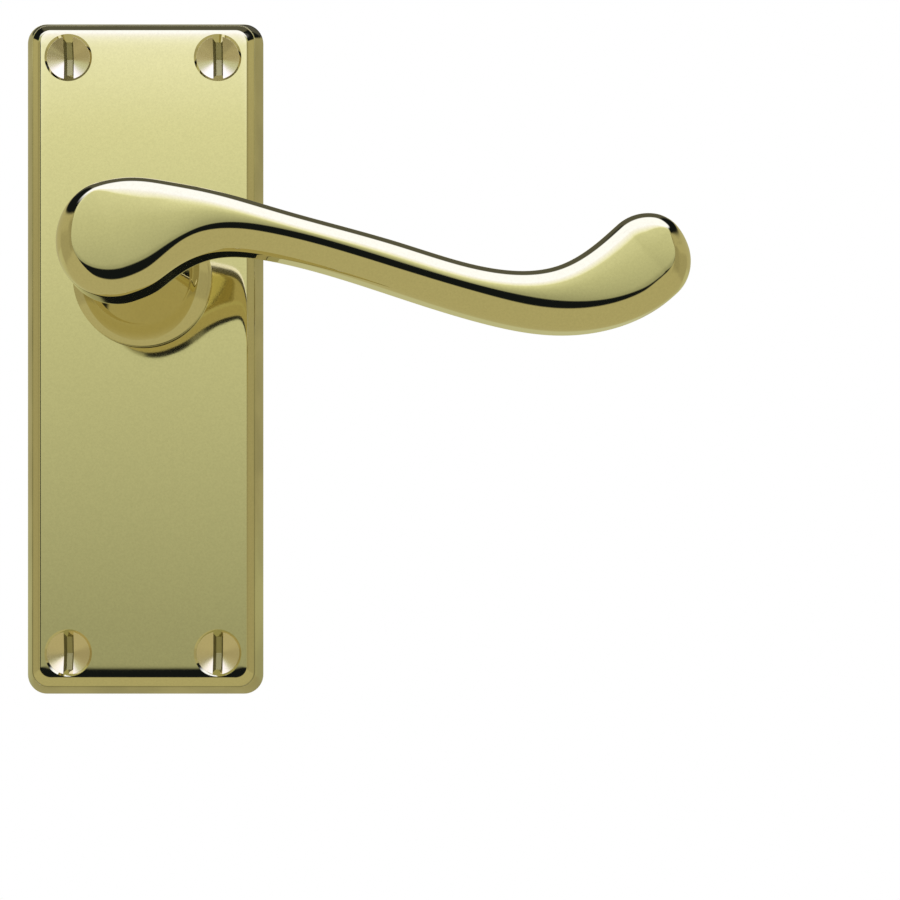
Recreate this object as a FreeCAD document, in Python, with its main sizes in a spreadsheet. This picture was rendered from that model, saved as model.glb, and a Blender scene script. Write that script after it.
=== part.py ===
"""Scroll lever latch handle on a short backplate: one side of a sprung door-handle set.

Frame: millimetres, +X along the lever, +Z up, the door behind. The origin is on the spindle
axis in the plane of the door face, so the handle stands out of the door along -Y, and the
"height" of anything here is its distance out from the door, -Y.
"""
import FreeCAD, Part
import math
import os
import Sketcher
from FreeCAD import Vector

doc = FreeCAD.newDocument("ScrollLeverHandle")
sheet = doc.addObject("Spreadsheet::Sheet", "Sizes")
sheet.Label = "Sizes"

SIZES = {
    # backplate, measured on the door face and out from it
    "plate_tall": 118.0,
    "plate_wide": 41.5,
    "plate_thick": 6.5,
    "plate_corner": 3.4,
    "plate_edge": 0.5,
    "flank_rise": 4.5,
    "flank_inset": 1.4,
    "bevel_rise": 1.25,
    "bevel_inset": 1.1,
    "crown_inset": 2.4,
    "front_wall": 1.7,
    "rim_wall": 2.6,
    "axis_above_middle": 13.4,
    # wood screws
    "screw_side_inset": 7.75,
    "screw_end_inset": 7.25,
    "screw_boss": 11.0,
    "screw_shank": 4.2,
    "screw_thread": 3.5,
    "screw_head": 7.5,
    "screw_long": 19.0,
    "screw_dish": 1.2,
    "screw_sink": 0.4,
    "screw_tip": 3.4,
    "screw_point": 0.3,
    "shank_behind": 0.6,
    "slot_wide": 1.45,
    "slot_deep": 1.4,
    "shank_clearance": 0.15,
    # lever: its edges at the back, the level strip at the peak of its bowed front, neck, tail
    "back_round": 2.5,
    "bow_flat": 0.5,
    "tail_wide": 15.0,
    "tail_flats": 13.2,
    "foot_cover": 1.0,
    "foot_rim": 1.35,
    "bell_tall": 5.6,
    "bell_round": 10.0,
    "bell_top_wide": 17.8,
    "neck_taper": 14.2,
    "neck_wide": 12.9,
    "neck_flare": 11.55,
    "neck_flare_wide": 15.2,
    # square drive
    "spindle_square": 8.0,
    "spindle_corner": 0.6,
    "spindle_bevel": 0.4,
    "spindle_inside": 23.0,
    "spindle_behind": 70.0,
    "socket_clearance": 0.05,
    "socket_spare": 1.5,
    # bush, spring, cam and their keepers
    "running_clearance": 0.06,
    "bush_wall": 1.4,
    "bush_lip": 2.1,
    "bush_flange": 0.8,
    "bush_proud": 0.3,
    "foot_gap": 0.05,
    "end_play": 0.1,
    "spring_wire": 0.9,
    "spring_gap": 0.05,
    "spring_room": 0.4,
    "spring_bend": 1.2,
    "leg_spare": 2.2,
    "cam_sheet": 1.0,
    "washer_sheet": 0.4,
    "washer_band": 2.0,
    "clip_sheet": 0.9,
    "clip_band": 1.5,
    "clip_opening": 50.0,
    "clip_lug": 2.4,
    "clip_lug_hole": 1.2,
    "groove_deep": 0.7,
    "groove_spare": 0.05,
    "drive_clearance": 0.03,
    "tab_wide": 3.0,
    "tab_gap": 0.3,
    "stop_wide": 4.0,
    "stop_spare": 0.7,
    "lever_swing": 45.0,
    # spring cover and its screws
    "cover_sheet": 0.8,
    "cover_behind_cam": 0.45,
    "cover_room": 1.2,
    "post_step": 0.4,
    "ear_wide": 6.0,
    "ear_gap": 0.15,
    "ear_step": 1.7,
    "cover_screw": 3.0,
    "cover_screw_head": 5.2,
    "cover_screw_head_tall": 1.4,
    "cover_head_room": 0.3,
    "cover_screw_bite": 2.6,
    "cover_boss": 5.8,
}

# The lever's cross-sections, one row each: place along and above the spindle axis, half the
# width across the lever, back and front height, the rounding of the upper and of the lower
# front edge, the radius of the bowed front, and how far above the middle the bow peaks.
STATION_FIELDS = ("along", "above", "half", "back", "front", "upper", "lower", "bow", "peak")
STATIONS = {
    "head": (-1.4, -0.25, 8.9, 38.0, 52.5, 3.0, 3.0, 60.0, 0.0),
    "cheek": (3.5, 1.25, 8.3, 38.2, 52.5, 2.2, 3.6, 50.0, 1.2),
    "throat": (8.0, 2.2, 6.6, 38.8, 52.4, 1.6, 4.0, 32.0, 1.8),
    "root": (13.0, 2.6, 5.05, 39.4, 52.0, 1.4, 4.2, 20.0, 1.9),
    "waist": (24.0, 0.9, 3.65, 40.0, 51.4, 1.3, 4.2, 10.0, 1.7),
    "grip": (42.0, -4.1, 3.7, 40.0, 51.0, 1.3, 4.2, 10.0, 1.7),
    "heel": (58.0, -8.7, 4.0, 40.0, 51.0, 1.3, 4.2, 13.0, 1.8),
    "sweep": (69.0, -9.2, 5.2, 40.0, 51.0, 1.6, 4.0, 24.0, 1.6),
    "bulb": (81.8, -3.05, 7.05, 40.0, 51.0, 3.0, 3.0, 45.0, 0.0),
}
HEAD_ANGLE = 17.0
BULB_ANGLE = 42.0

row = 0


def cell(name, value):
    """Write one driving dimension into the sheet under its name."""
    global row
    row += 1
    sheet.set(f"A{row}", name)
    sheet.set(f"B{row}", str(value))
    sheet.setAlias(f"B{row}", name)


for name, value in SIZES.items():
    cell(name, value)
for station, values in STATIONS.items():
    for field, value in zip(STATION_FIELDS, values):
        cell(f"{station}_{field}", value)
cell("head_angle", HEAD_ANGLE)
cell("bulb_angle", BULB_ANGLE)
doc.recompute()


def bound(formula):
    """The formula with every size name pointed at the sheet."""
    words = "".join(c if c.isalnum() or c == "_" else " " for c in formula).split()
    names = {w for w in words if hasattr(sheet, w) and not w[0].isdigit()}
    out, word = "", ""
    for c in formula + " ":
        if c.isalnum() or c == "_":
            word += c
            continue
        out += ("Sizes." + word if word in names else word) + c
        word = ""
    return out.strip()


def size(formula):
    """The formula's value in millimetres or degrees."""
    value = sheet.evalExpression(bound(formula))
    return float(getattr(value, "Value", value))


def tie(thing, place, formula):
    thing.setExpression(place, bound(formula))


# Heights out from the door that more than one piece uses, stacked from the front wall back.
FRONT = "plate_thick"
WALL_BACK = "(plate_thick - front_wall)"
FLANGE_SEAT = "(plate_thick + bush_proud - bush_flange)"
FOOT = "(plate_thick + bush_proud + foot_gap)"
COIL_FRONT = f"({WALL_BACK} - spring_gap)"
CAM_FRONT = f"({COIL_FRONT} - 2 * (spring_wire + spring_gap))"
BUSH_BACK = f"({CAM_FRONT} + end_play)"
CAM_BACK = f"({CAM_FRONT} - cam_sheet)"
WASHER_BACK = f"({CAM_BACK} - washer_sheet)"
CLIP_BACK = f"({WASHER_BACK} - clip_sheet)"
TAIL_END = f"({CLIP_BACK} - groove_deep / 2)"
COVER_FRONT = f"({CAM_BACK} - cover_behind_cam)"
COVER_BACK = f"({COVER_FRONT} - cover_sheet)"
EAR_BACK = f"({COVER_BACK} + ear_step)"
EAR_FRONT = f"({EAR_BACK} + cover_sheet)"
BELL_TOP = f"({FOOT} + foot_rim + bell_tall)"
NECK_TOP = f"({BELL_TOP} + neck_taper)"

# Distances from the spindle axis that more than one piece uses, from the tail outwards.
BUSH_OUTSIDE = "(tail_wide / 2 + bush_wall)"
FLANGE_EDGE = f"({BUSH_OUTSIDE} + bush_lip)"
FOOT_EDGE = f"({FLANGE_EDGE} + foot_cover)"
CLIP_EDGE = "(tail_wide / 2 + clip_band)"
COVER_INSIDE = f"({CLIP_EDGE} + cover_room)"
COIL_INSIDE = f"({BUSH_OUTSIDE} + spring_room)"
SPRING_RADIUS = f"({COIL_INSIDE} + spring_wire / 2)"
TAB_INSIDE = f"({COIL_INSIDE} + spring_wire + 2 * tab_gap)"
POST_INSIDE = f"({TAB_INSIDE} + cam_sheet + 4 * tab_gap)"
POST_OUTSIDE = f"({POST_INSIDE} + cover_sheet)"
COVER_EDGE = f"({POST_INSIDE} - post_step)"
COVER_SCREW_REACH = f"({COVER_EDGE} + cover_boss / 2)"


def body(label):
    new = doc.addObject("PartDesign::Body", label)
    new.Label = label
    return new


def sketch(of, name, role="XZ_Plane", height="0", placed=None):
    """A sketch on one of the body's own planes, lifted by a height, or placed by an expression."""
    new = of.newObject("Sketcher::SketchObject", f"{of.Name}_{name}")
    plane = [f for f in of.Origin.OriginFeatures if f.Role == role][0]
    new.AttachmentSupport = [(plane, "")]
    new.MapMode = "FlatFace"
    if placed:
        tie(new, "AttachmentOffset", placed)
    else:
        tie(new, "AttachmentOffset.Base.z", height)
    doc.recompute()
    return new


def hold(of, kind, *where, formula):
    """Add a dimension and tie it to its formula."""
    number = of.addConstraint(Sketcher.Constraint(kind, *where, size(formula)))
    tie(of, f"Constraints[{number}]", formula)


def hold_point(of, line, end, across, up):
    hold(of, "DistanceX", -1, 1, line, end, formula=across)
    hold(of, "DistanceY", -1, 1, line, end, formula=up)


def hollow_side(of, start, end, radius):
    """An arc between two corners, its middle on the right of the way from one to the other."""
    way = end - start
    right = Vector(way.y, -way.x, 0) / way.Length
    middle = (start + end) / 2 + right * math.sqrt(radius**2 - (way.Length / 2) ** 2)
    near, far = end - middle, start - middle
    arc(of, middle, radius, math.atan2(near.y, near.x), math.atan2(far.y, far.x))


def polygon(of, points, hollow=(None, "0")):
    """A closed outline through corners given as pairs of formulas.

    One side can be an arc, hollow towards the inside: the number of the corner that it
    starts from, and its radius.
    """
    spots = [Vector(size(a), size(b), 0) for a, b in points]
    first = of.GeometryCount
    count = len(spots)
    bent, radius = hollow
    for i in range(count):
        start, end = spots[i], spots[(i + 1) % count]
        if i == bent:
            hollow_side(of, start, end, size(radius))
        else:
            of.addGeometry(Part.LineSegment(start, end), False)
    # an arc runs anticlockwise, so that the hollow side is drawn from its far corner
    ends = [(2, 1) if i == bent else (1, 2) for i in range(count)]
    for i in range(count):
        after = (i + 1) % count
        of.addConstraint(
            Sketcher.Constraint("Coincident", first + i, ends[i][1], first + after, ends[after][0])
        )
    for i, (across, up) in enumerate(points):
        hold_point(of, first + i, ends[i][0], across, up)
    if bent is not None:
        hold(of, "Radius", first + bent, formula=radius)


def circle(of, across, up, wide):
    spot = Vector(size(across), size(up), 0)
    new = of.addGeometry(Part.Circle(spot, Vector(0, 0, 1), size(wide) / 2), False)
    hold_point(of, new, 3, across, up)
    hold(of, "Diameter", new, formula=wide)


def rounded_box(of, left, right, low, top, corner):
    """A rectangle between four formulas with its corners rounded."""
    x0, x1, y0, y1, r = (size(f) for f in (left, right, low, top, corner))
    first = of.GeometryCount
    flats = [
        (Vector(x0 + r, y0, 0), Vector(x1 - r, y0, 0)),
        (Vector(x1, y0 + r, 0), Vector(x1, y1 - r, 0)),
        (Vector(x1 - r, y1, 0), Vector(x0 + r, y1, 0)),
        (Vector(x0, y1 - r, 0), Vector(x0, y0 + r, 0)),
    ]
    middles = [(x1 - r, y0 + r), (x1 - r, y1 - r), (x0 + r, y1 - r), (x0 + r, y0 + r)]
    for i in range(4):
        of.addGeometry(Part.LineSegment(*flats[i]), False)
        ring = Part.Circle(Vector(*middles[i], 0), Vector(0, 0, 1), r)
        start = (i - 1) * math.pi / 2
        of.addGeometry(Part.ArcOfCircle(ring, start, start + math.pi / 2), False)
    for i in range(4):
        flat, arc = first + 2 * i, first + 2 * i + 1
        after = first + 2 * ((i + 1) % 4)
        of.addConstraint(Sketcher.Constraint("Tangent", flat, 2, arc, 1))
        of.addConstraint(Sketcher.Constraint("Tangent", arc, 2, after, 1))
        if i:
            of.addConstraint(Sketcher.Constraint("Equal", first + 1, arc))
    for i in (0, 1):
        of.addConstraint(Sketcher.Constraint("Horizontal" if i == 0 else "Vertical", first + 2 * i))
    hold(of, "Radius", first + 1, formula=corner)
    hold(of, "DistanceY", -1, 1, first, 1, formula=low)
    hold(of, "DistanceX", -1, 1, first + 2, 1, formula=right)
    hold(of, "DistanceY", -1, 1, first + 4, 1, formula=top)
    hold(of, "DistanceX", -1, 1, first + 6, 1, formula=left)


def arc(of, middle, radius, start, end):
    ring_line = Part.Circle(middle, Vector(0, 0, 1), radius)
    of.addGeometry(Part.ArcOfCircle(ring_line, start, end), False)


def bowed_edge(name, side, edge):
    """Middle of a front edge's rounding, tangent to the side and to the bow, and its bearing."""
    half, front, bow, peak = (size(f"{name}_{f}") for f in ("half", "front", "bow", "peak"))
    x = side * (half - edge)
    across = x - peak - side * size("bow_flat")
    rise = math.sqrt((bow - edge) ** 2 - across**2)
    return Vector(x, front - bow + rise, 0), math.atan2(rise, across)


def bowed_box(of, name):
    """A section across the lever: upright sides, a rounded back and a bowed front whose
    upper and lower edges are rounded differently. The bow is level for a short way at its peak."""
    fields = ("half", "back", "front", "upper", "lower", "bow", "peak")
    half, back, front, upper, lower, bow, peak = (size(f"{name}_{f}") for f in fields)
    r, flat = size("back_round"), size("bow_flat")
    quarter = math.pi / 2
    up, up_angle = bowed_edge(name, 1, upper)
    low, low_angle = bowed_edge(name, -1, lower)
    top, foot = Vector(peak + flat, front, 0), Vector(peak - flat, front, 0)
    down = Vector(0, -bow, 0)
    of.addGeometry(Part.LineSegment(Vector(-half + r, back, 0), Vector(half - r, back, 0)), False)
    arc(of, Vector(half - r, back + r, 0), r, -quarter, 0)
    of.addGeometry(Part.LineSegment(Vector(half, back + r, 0), Vector(half, up.y, 0)), False)
    arc(of, up, upper, 0, up_angle)
    arc(of, top + down, bow, up_angle, quarter)
    of.addGeometry(Part.LineSegment(top, foot), False)
    arc(of, foot + down, bow, quarter, low_angle)
    arc(of, low, lower, low_angle, math.pi)
    of.addGeometry(Part.LineSegment(Vector(-half, low.y, 0), Vector(-half, back + r, 0)), False)
    arc(of, Vector(-half + r, back + r, 0), r, math.pi, 3 * quarter)
    for i in range(10):
        of.addConstraint(Sketcher.Constraint("Tangent", i, 2, (i + 1) % 10, 1))
    for i in (0, 5):
        of.addConstraint(Sketcher.Constraint("Horizontal", i))
    for i in (2, 8):
        of.addConstraint(Sketcher.Constraint("Vertical", i))
    of.addConstraint(Sketcher.Constraint("Equal", 1, 9))
    of.addConstraint(Sketcher.Constraint("Equal", 4, 6))
    hold(of, "Radius", 1, formula="back_round")
    hold(of, "Radius", 3, formula=f"{name}_upper")
    hold(of, "Radius", 4, formula=f"{name}_bow")
    hold(of, "Radius", 7, formula=f"{name}_lower")
    hold(of, "DistanceY", -1, 1, 0, 1, formula=f"{name}_back")
    hold(of, "DistanceX", -1, 1, 2, 1, formula=f"{name}_half")
    hold(of, "DistanceX", -1, 1, 8, 1, formula=f"-{name}_half")
    hold_point(of, 5, 1, f"{name}_peak + bow_flat", f"{name}_front")
    hold(of, "DistanceX", -1, 1, 5, 2, formula=f"{name}_peak - bow_flat")


def half_bowed_box(of, name):
    """Half of a section whose two front edges are alike, from its upright axis outwards."""
    half, back, front, edge, bow = (
        size(f"{name}_{f}") for f in ("half", "back", "front", "upper", "bow")
    )
    r, flat = size("back_round"), size("bow_flat")
    quarter = math.pi / 2
    up, up_angle = bowed_edge(name, 1, edge)
    of.addGeometry(Part.LineSegment(Vector(0, back, 0), Vector(half - r, back, 0)), False)
    arc(of, Vector(half - r, back + r, 0), r, -quarter, 0)
    of.addGeometry(Part.LineSegment(Vector(half, back + r, 0), Vector(half, up.y, 0)), False)
    arc(of, up, edge, 0, up_angle)
    arc(of, Vector(flat, front - bow, 0), bow, up_angle, quarter)
    of.addGeometry(Part.LineSegment(Vector(flat, front, 0), Vector(0, front, 0)), False)
    of.addGeometry(Part.LineSegment(Vector(0, front, 0), Vector(0, back, 0)), False)
    for i in range(5):
        of.addConstraint(Sketcher.Constraint("Tangent", i, 2, i + 1, 1))
    for i in (5, 6):
        of.addConstraint(Sketcher.Constraint("Coincident", i, 2, (i + 1) % 7, 1))
    for i in (0, 5):
        of.addConstraint(Sketcher.Constraint("Horizontal", i))
    for i in (2, 6):
        of.addConstraint(Sketcher.Constraint("Vertical", i))
    hold(of, "Radius", 1, formula="back_round")
    hold(of, "Radius", 3, formula=f"{name}_upper")
    hold(of, "Radius", 4, formula=f"{name}_bow")
    hold_point(of, 0, 1, "0", f"{name}_back")
    hold(of, "DistanceX", -1, 1, 2, 1, formula=f"{name}_half")
    hold_point(of, 5, 1, "bow_flat", f"{name}_front")


def pad(of, profile, length):
    new = of.newObject("PartDesign::Pad", f"{profile.Name}_pad")
    new.Profile = profile
    tie(new, "Length", length)
    doc.recompute()
    return new


def pocket(of, profile, depth, outward=False):
    """Cut from the sketch: inward to the door, or outward from the door when asked."""
    before = of.Shape.Volume
    new = of.newObject("PartDesign::Pocket", f"{profile.Name}_cut")
    new.Profile = profile
    tie(new, "Length", depth)
    new.Reversed = outward
    doc.recompute()
    if new.Shape.isNull() or new.Shape.Volume >= before:
        raise RuntimeError(f"{new.Name} cut nothing")
    return new


def turn(of, profile, axis, angle=360.0, back=False):
    new = of.newObject("PartDesign::Revolution", f"{profile.Name}_turn")
    new.Profile = profile
    new.ReferenceAxis = (profile, [axis])
    new.Angle = angle
    new.Reversed = back
    doc.recompute()
    return new


def skin(of, profiles, ruled):
    new = of.newObject("PartDesign::AdditiveLoft", f"{profiles[0].Name}_loft")
    new.Profile = profiles[0]
    new.Sections = profiles[1:]
    new.Ruled = ruled
    doc.recompute()
    return new


def screw_spots():
    """The four screw centres, as formulas on the door face."""
    for side in (-1, 1):
        for end in (-1, 1):
            yield (
                f"{side} * (plate_wide / 2 - screw_side_inset)",
                f"{end} * (plate_tall / 2 - screw_end_inset) - axis_above_middle",
            )


def cover_screw_spots():
    for side in (-1, 1):
        yield f"{side} * {COVER_SCREW_REACH}", "0"


# --- backplate: hot-pressed brass with a rolled edge, hollow behind -----------------------


def plate_outline(of, name, height, inset, corner):
    """The plate's outline at one height, drawn in from the door-side outline."""
    new = sketch(of, name, height=height)
    rounded_box(
        new,
        f"-plate_wide / 2 + {inset}",
        f"plate_wide / 2 - {inset}",
        f"-plate_tall / 2 - axis_above_middle + {inset}",
        f"plate_tall / 2 - axis_above_middle - {inset}",
        corner,
    )
    return new


def make_backplate():
    plate = body("backplate")
    bevel_in = "(flank_inset + bevel_inset)"
    bevel_top = "(plate_edge + flank_rise + bevel_rise)"
    # the front rolls off to the bevel in two steps, the outer three times as steep
    roll = f"({FRONT} - ({FRONT} - {bevel_top}) / 4)"
    levels = [
        ("foot", "0", "0", "plate_corner"),
        ("edge", "plate_edge", "0", "plate_corner"),
        ("flank", "plate_edge + flank_rise", "flank_inset", "plate_corner - flank_inset / 2"),
        ("bevel", bevel_top, bevel_in, "plate_corner - flank_inset"),
        ("roll", roll, f"({bevel_in} + crown_inset / 2)", "plate_corner - flank_inset"),
        ("crown", FRONT, f"({bevel_in} + crown_inset)", "plate_corner - flank_inset"),
    ]
    outlines = [plate_outline(plate, *level) for level in levels]
    skin(plate, outlines, ruled=True)

    # room for the cover's screw heads, where they reach into the rim of a narrow plate
    room = sketch(plate, "cover_screw_room", height="0")
    for across, up in cover_screw_spots():
        circle(room, across, up, "cover_screw_head + 2 * cover_head_room")
    pocket(plate, room, EAR_BACK, outward=True)

    hollow = plate_outline(plate, "hollow", "0", "rim_wall", "plate_corner / 2")
    pocket(plate, hollow, WALL_BACK, outward=True)

    pads = sketch(plate, "screw_bosses")
    for across, up in screw_spots():
        circle(pads, across, up, "screw_boss")
    pad(plate, pads, f"{WALL_BACK} + front_wall / 4")
    pads = sketch(plate, "cover_bosses", height=EAR_FRONT)
    for across, up in cover_screw_spots():
        circle(pads, across, up, "cover_boss")
    pad(plate, pads, f"{WALL_BACK} + front_wall / 4 - {EAR_FRONT}")

    sinks = sketch(plate, "screw_holes", height=FRONT)
    for across, up in screw_spots():
        circle(sinks, across, up, "screw_shank + 2 * shank_clearance")
    hole = plate.newObject("PartDesign::Hole", "plate_screw_holes")
    hole.Profile = sinks
    hole.DepthType = "ThroughAll"
    hole.ThreadType = "None"
    tie(hole, "Diameter", "screw_shank + 2 * shank_clearance")
    hole.HoleCutType = "Countersink"
    hole.HoleCutCustomValues = True
    tie(hole, "HoleCutDiameter", "screw_head + 2 * screw_sink")
    hole.HoleCutCountersinkAngle = 90.0
    doc.recompute()

    seat = sketch(plate, "bush_seat", height=FRONT)
    circle(seat, "0", "0", f"2 * {FLANGE_EDGE} + 2 * running_clearance")
    pocket(plate, seat, "bush_flange - bush_proud")
    bore = sketch(plate, "bush_bore", height=FRONT)
    circle(bore, "0", "0", f"2 * {BUSH_OUTSIDE}")
    pocket(plate, bore, "plate_thick")

    taps = sketch(plate, "cover_screw_holes", height=EAR_FRONT)
    for across, up in cover_screw_spots():
        circle(taps, across, up, "cover_screw")
    pocket(plate, taps, "cover_screw_bite", outward=True)
    return plate


# --- lever: one polished brass casting ----------------------------------------------------


def section_placing(station, angle):
    """Stands a section across the lever: its own x across the arm, its own y out of the door."""
    spot = f"vector({station}_along; {station}_above; 0)"
    return f"placement({spot}; rotation({angle} + 90; 0; 90))"


def make_lever():
    lever = body("lever")

    # bell foot, tapered neck and the tail that runs in the bush, all turned about the spindle
    neck = sketch(lever, "neck", role="YZ_Plane")
    groove_front = f"({WASHER_BACK} + groove_spare)"
    polygon(
        neck,
        [
            (f"-{TAIL_END}", "0"),
            (f"-{TAIL_END}", "tail_wide / 2"),
            (f"-{CLIP_BACK}", "tail_wide / 2"),
            (f"-{CLIP_BACK}", "tail_wide / 2 - groove_deep"),
            (f"-{groove_front}", "tail_wide / 2 - groove_deep"),
            (f"-{groove_front}", "tail_wide / 2"),
            (f"-{FOOT}", "tail_wide / 2"),
            (f"-{FOOT}", FOOT_EDGE),
            (f"-{FOOT} - foot_rim", FOOT_EDGE),
            (f"-{BELL_TOP}", "bell_top_wide / 2"),
            (f"-{NECK_TOP}", "neck_wide / 2"),
            (f"-{NECK_TOP} - neck_flare / 2", "neck_wide / 2"),
            (f"-{NECK_TOP} - neck_flare", "neck_flare_wide / 2"),
            (f"-{NECK_TOP} - neck_flare", "0"),
        ],
        hollow=(8, "bell_round"),
    )
    turn(lever, neck, "H_Axis")

    names = list(STATIONS)
    sections = []
    for i, name in enumerate(names):
        if i == 0:
            angle = "head_angle"
        elif i == len(names) - 1:
            angle = "bulb_angle"
        else:
            rise = f"{names[i + 1]}_above - {names[i - 1]}_above"
            run = f"{names[i + 1]}_along - {names[i - 1]}_along"
            angle = f"atan2({rise}; {run}) / 1 deg"
        place = section_placing(name, angle)
        new = sketch(lever, name, placed=place)
        bowed_box(new, name)
        sections.append(new)
    skin(lever, sections, ruled=False)

    for name, back in (("head", False), ("bulb", True)):
        half = sketch(lever, f"{name}_end", placed=section_placing(name, f"{name}_angle"))
        half_bowed_box(half, name)
        turn(lever, half, "V_Axis", angle=180.0, back=back)

    side = "(spindle_square / 2 + socket_clearance)"
    socket = sketch(lever, "socket", height=TAIL_END)
    rounded_box(socket, f"-{side}", side, f"-{side}", side, "spindle_corner / 2")
    pocket(lever, socket, f"spindle_inside + socket_spare - {TAIL_END}", outward=True)

    flats = sketch(lever, "flats", height=TAIL_END)
    for sign in ("-", ""):
        near, far = f"{sign}tail_flats / 2", f"{sign}tail_wide"
        low, high = "-tail_wide", "tail_wide"
        polygon(flats, [(near, low), (far, low), (far, high), (near, high)])
    pocket(lever, flats, f"{CAM_FRONT} - {TAIL_END}", outward=True)
    return lever


# --- running parts behind the plate -------------------------------------------------------


def ring(of, name, height, inside, outside, length):
    """A flat ring lying parallel to the door."""
    outline = sketch(of, name, height=height)
    circle(outline, "0", "0", outside)
    circle(outline, "0", "0", inside)
    return pad(of, outline, length)


def make_neck_bush():
    bush = body("neck_bush")
    inside = "tail_wide / 2 + running_clearance"
    wall = sketch(bush, "wall", role="YZ_Plane")
    polygon(
        wall,
        [
            (f"-{BUSH_BACK}", inside),
            (f"-{BUSH_BACK}", BUSH_OUTSIDE),
            (f"-{FLANGE_SEAT}", BUSH_OUTSIDE),
            (f"-{FLANGE_SEAT}", FLANGE_EDGE),
            (f"-{FLANGE_SEAT} - bush_flange", FLANGE_EDGE),
            (f"-{FLANGE_SEAT} - bush_flange", inside),
        ],
    )
    turn(bush, wall, "H_Axis")


def double_flat(of, wide, flats):
    """A round opening with two upright flats."""
    r, x = size(wide) / 2, size(flats) / 2
    start = math.acos(x / r)
    ring_line = Part.Circle(Vector(0, 0, 0), Vector(0, 0, 1), r)
    of.addGeometry(Part.ArcOfCircle(ring_line, start, math.pi - start), False)
    of.addGeometry(Part.ArcOfCircle(ring_line, math.pi + start, 2 * math.pi - start), False)
    y = r * math.sin(start)
    of.addGeometry(Part.LineSegment(Vector(-x, y, 0), Vector(-x, -y, 0)), False)
    of.addGeometry(Part.LineSegment(Vector(x, -y, 0), Vector(x, y, 0)), False)
    for one, end, other, start_end in ((0, 2, 2, 1), (2, 2, 1, 1), (1, 2, 3, 1), (3, 2, 0, 1)):
        of.addConstraint(Sketcher.Constraint("Coincident", one, end, other, start_end))
    for arc in (0, 1):
        of.addConstraint(Sketcher.Constraint("Coincident", arc, 3, -1, 1))
    for line in (2, 3):
        of.addConstraint(Sketcher.Constraint("Vertical", line))
    hold(of, "Diameter", 0, formula=wide)
    hold(of, "DistanceX", -1, 1, 3, 1, formula=f"({flats}) / 2")
    hold(of, "DistanceX", -1, 1, 2, 1, formula=f"-({flats}) / 2")


def make_drive_cam():
    """A steel cam on the tail's flats: one bent tab drives the spring, one lug meets the stops."""
    cam = body("drive_cam")
    plate = sketch(cam, "disc", height=CAM_BACK)
    circle(plate, "0", "0", f"2 * ({TAB_INSIDE} - tab_gap)")
    pad(cam, plate, "cam_sheet")
    tab_outside = f"({TAB_INSIDE} + cam_sheet)"
    tongue = sketch(cam, "tongue", height=CAM_BACK)
    side = "tab_wide / 2"
    polygon(tongue, [(f"-{side}", f"-{tab_outside}"), (side, f"-{tab_outside}"), (side, "0"), (f"-{side}", "0")])
    pad(cam, tongue, "cam_sheet")
    tab = sketch(cam, "tab", height=CAM_BACK)
    low, high = f"-{tab_outside}", f"-{TAB_INSIDE}"
    polygon(tab, [(f"-{side}", low), (side, low), (side, high), (f"-{side}", high)])
    pad(cam, tab, f"{COIL_FRONT} - {CAM_BACK}")
    lug = sketch(cam, "lug", height=CAM_BACK)
    side = "stop_wide / 2"
    reach = f"{POST_OUTSIDE} + stop_spare"
    polygon(lug, [(f"-{side}", "0"), (side, "0"), (side, reach), (f"-{side}", reach)])
    pad(cam, lug, "cam_sheet")
    bore = sketch(cam, "bore", height=CAM_FRONT)
    double_flat(bore, "tail_wide + 2 * drive_clearance", "tail_flats + 2 * drive_clearance")
    pocket(cam, bore, "cam_sheet")


def make_thrust_washer():
    washer = body("thrust_washer")
    inside = "tail_wide + 2 * running_clearance"
    outside = "tail_wide + 2 * washer_band"
    ring(washer, "ring", WASHER_BACK, inside, outside, "washer_sheet")


def make_circlip():
    """An open snap ring with an eyed lug either side of its opening."""
    clip = body("circlip")
    inside = "(tail_wide - 2 * groove_deep + 2 * drive_clearance)"
    ring(clip, "ring", CLIP_BACK, inside, f"2 * {CLIP_EDGE}", "clip_sheet")
    opening = sketch(clip, "opening", height=CLIP_BACK)
    reach = f"2 * {CLIP_EDGE}"
    across = f"{reach} * tan(clip_opening / 2)"
    polygon(opening, [("0", "0"), (f"-{across}", f"-{reach}"), (across, f"-{reach}")])
    pocket(clip, opening, "clip_sheet", outward=True)
    lug_radius = f"({CLIP_EDGE} - clip_lug / 4)"
    turn_away = f"asin(clip_lug / 2 / {lug_radius}) / 1 deg + clip_opening / 2 - 3"
    across = f"{lug_radius} * sin({turn_away})"
    up = f"-{lug_radius} * cos({turn_away})"
    for name, wide, work in (("lugs", "clip_lug", pad), ("eyes", "clip_lug_hole", pocket)):
        outline = sketch(clip, name, height=CLIP_BACK)
        circle(outline, across, up, wide)
        circle(outline, f"-{across}", up, wide)
        if work is pad:
            pad(clip, outline, "clip_sheet")
        else:
            pocket(clip, outline, "clip_sheet", outward=True)


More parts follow.
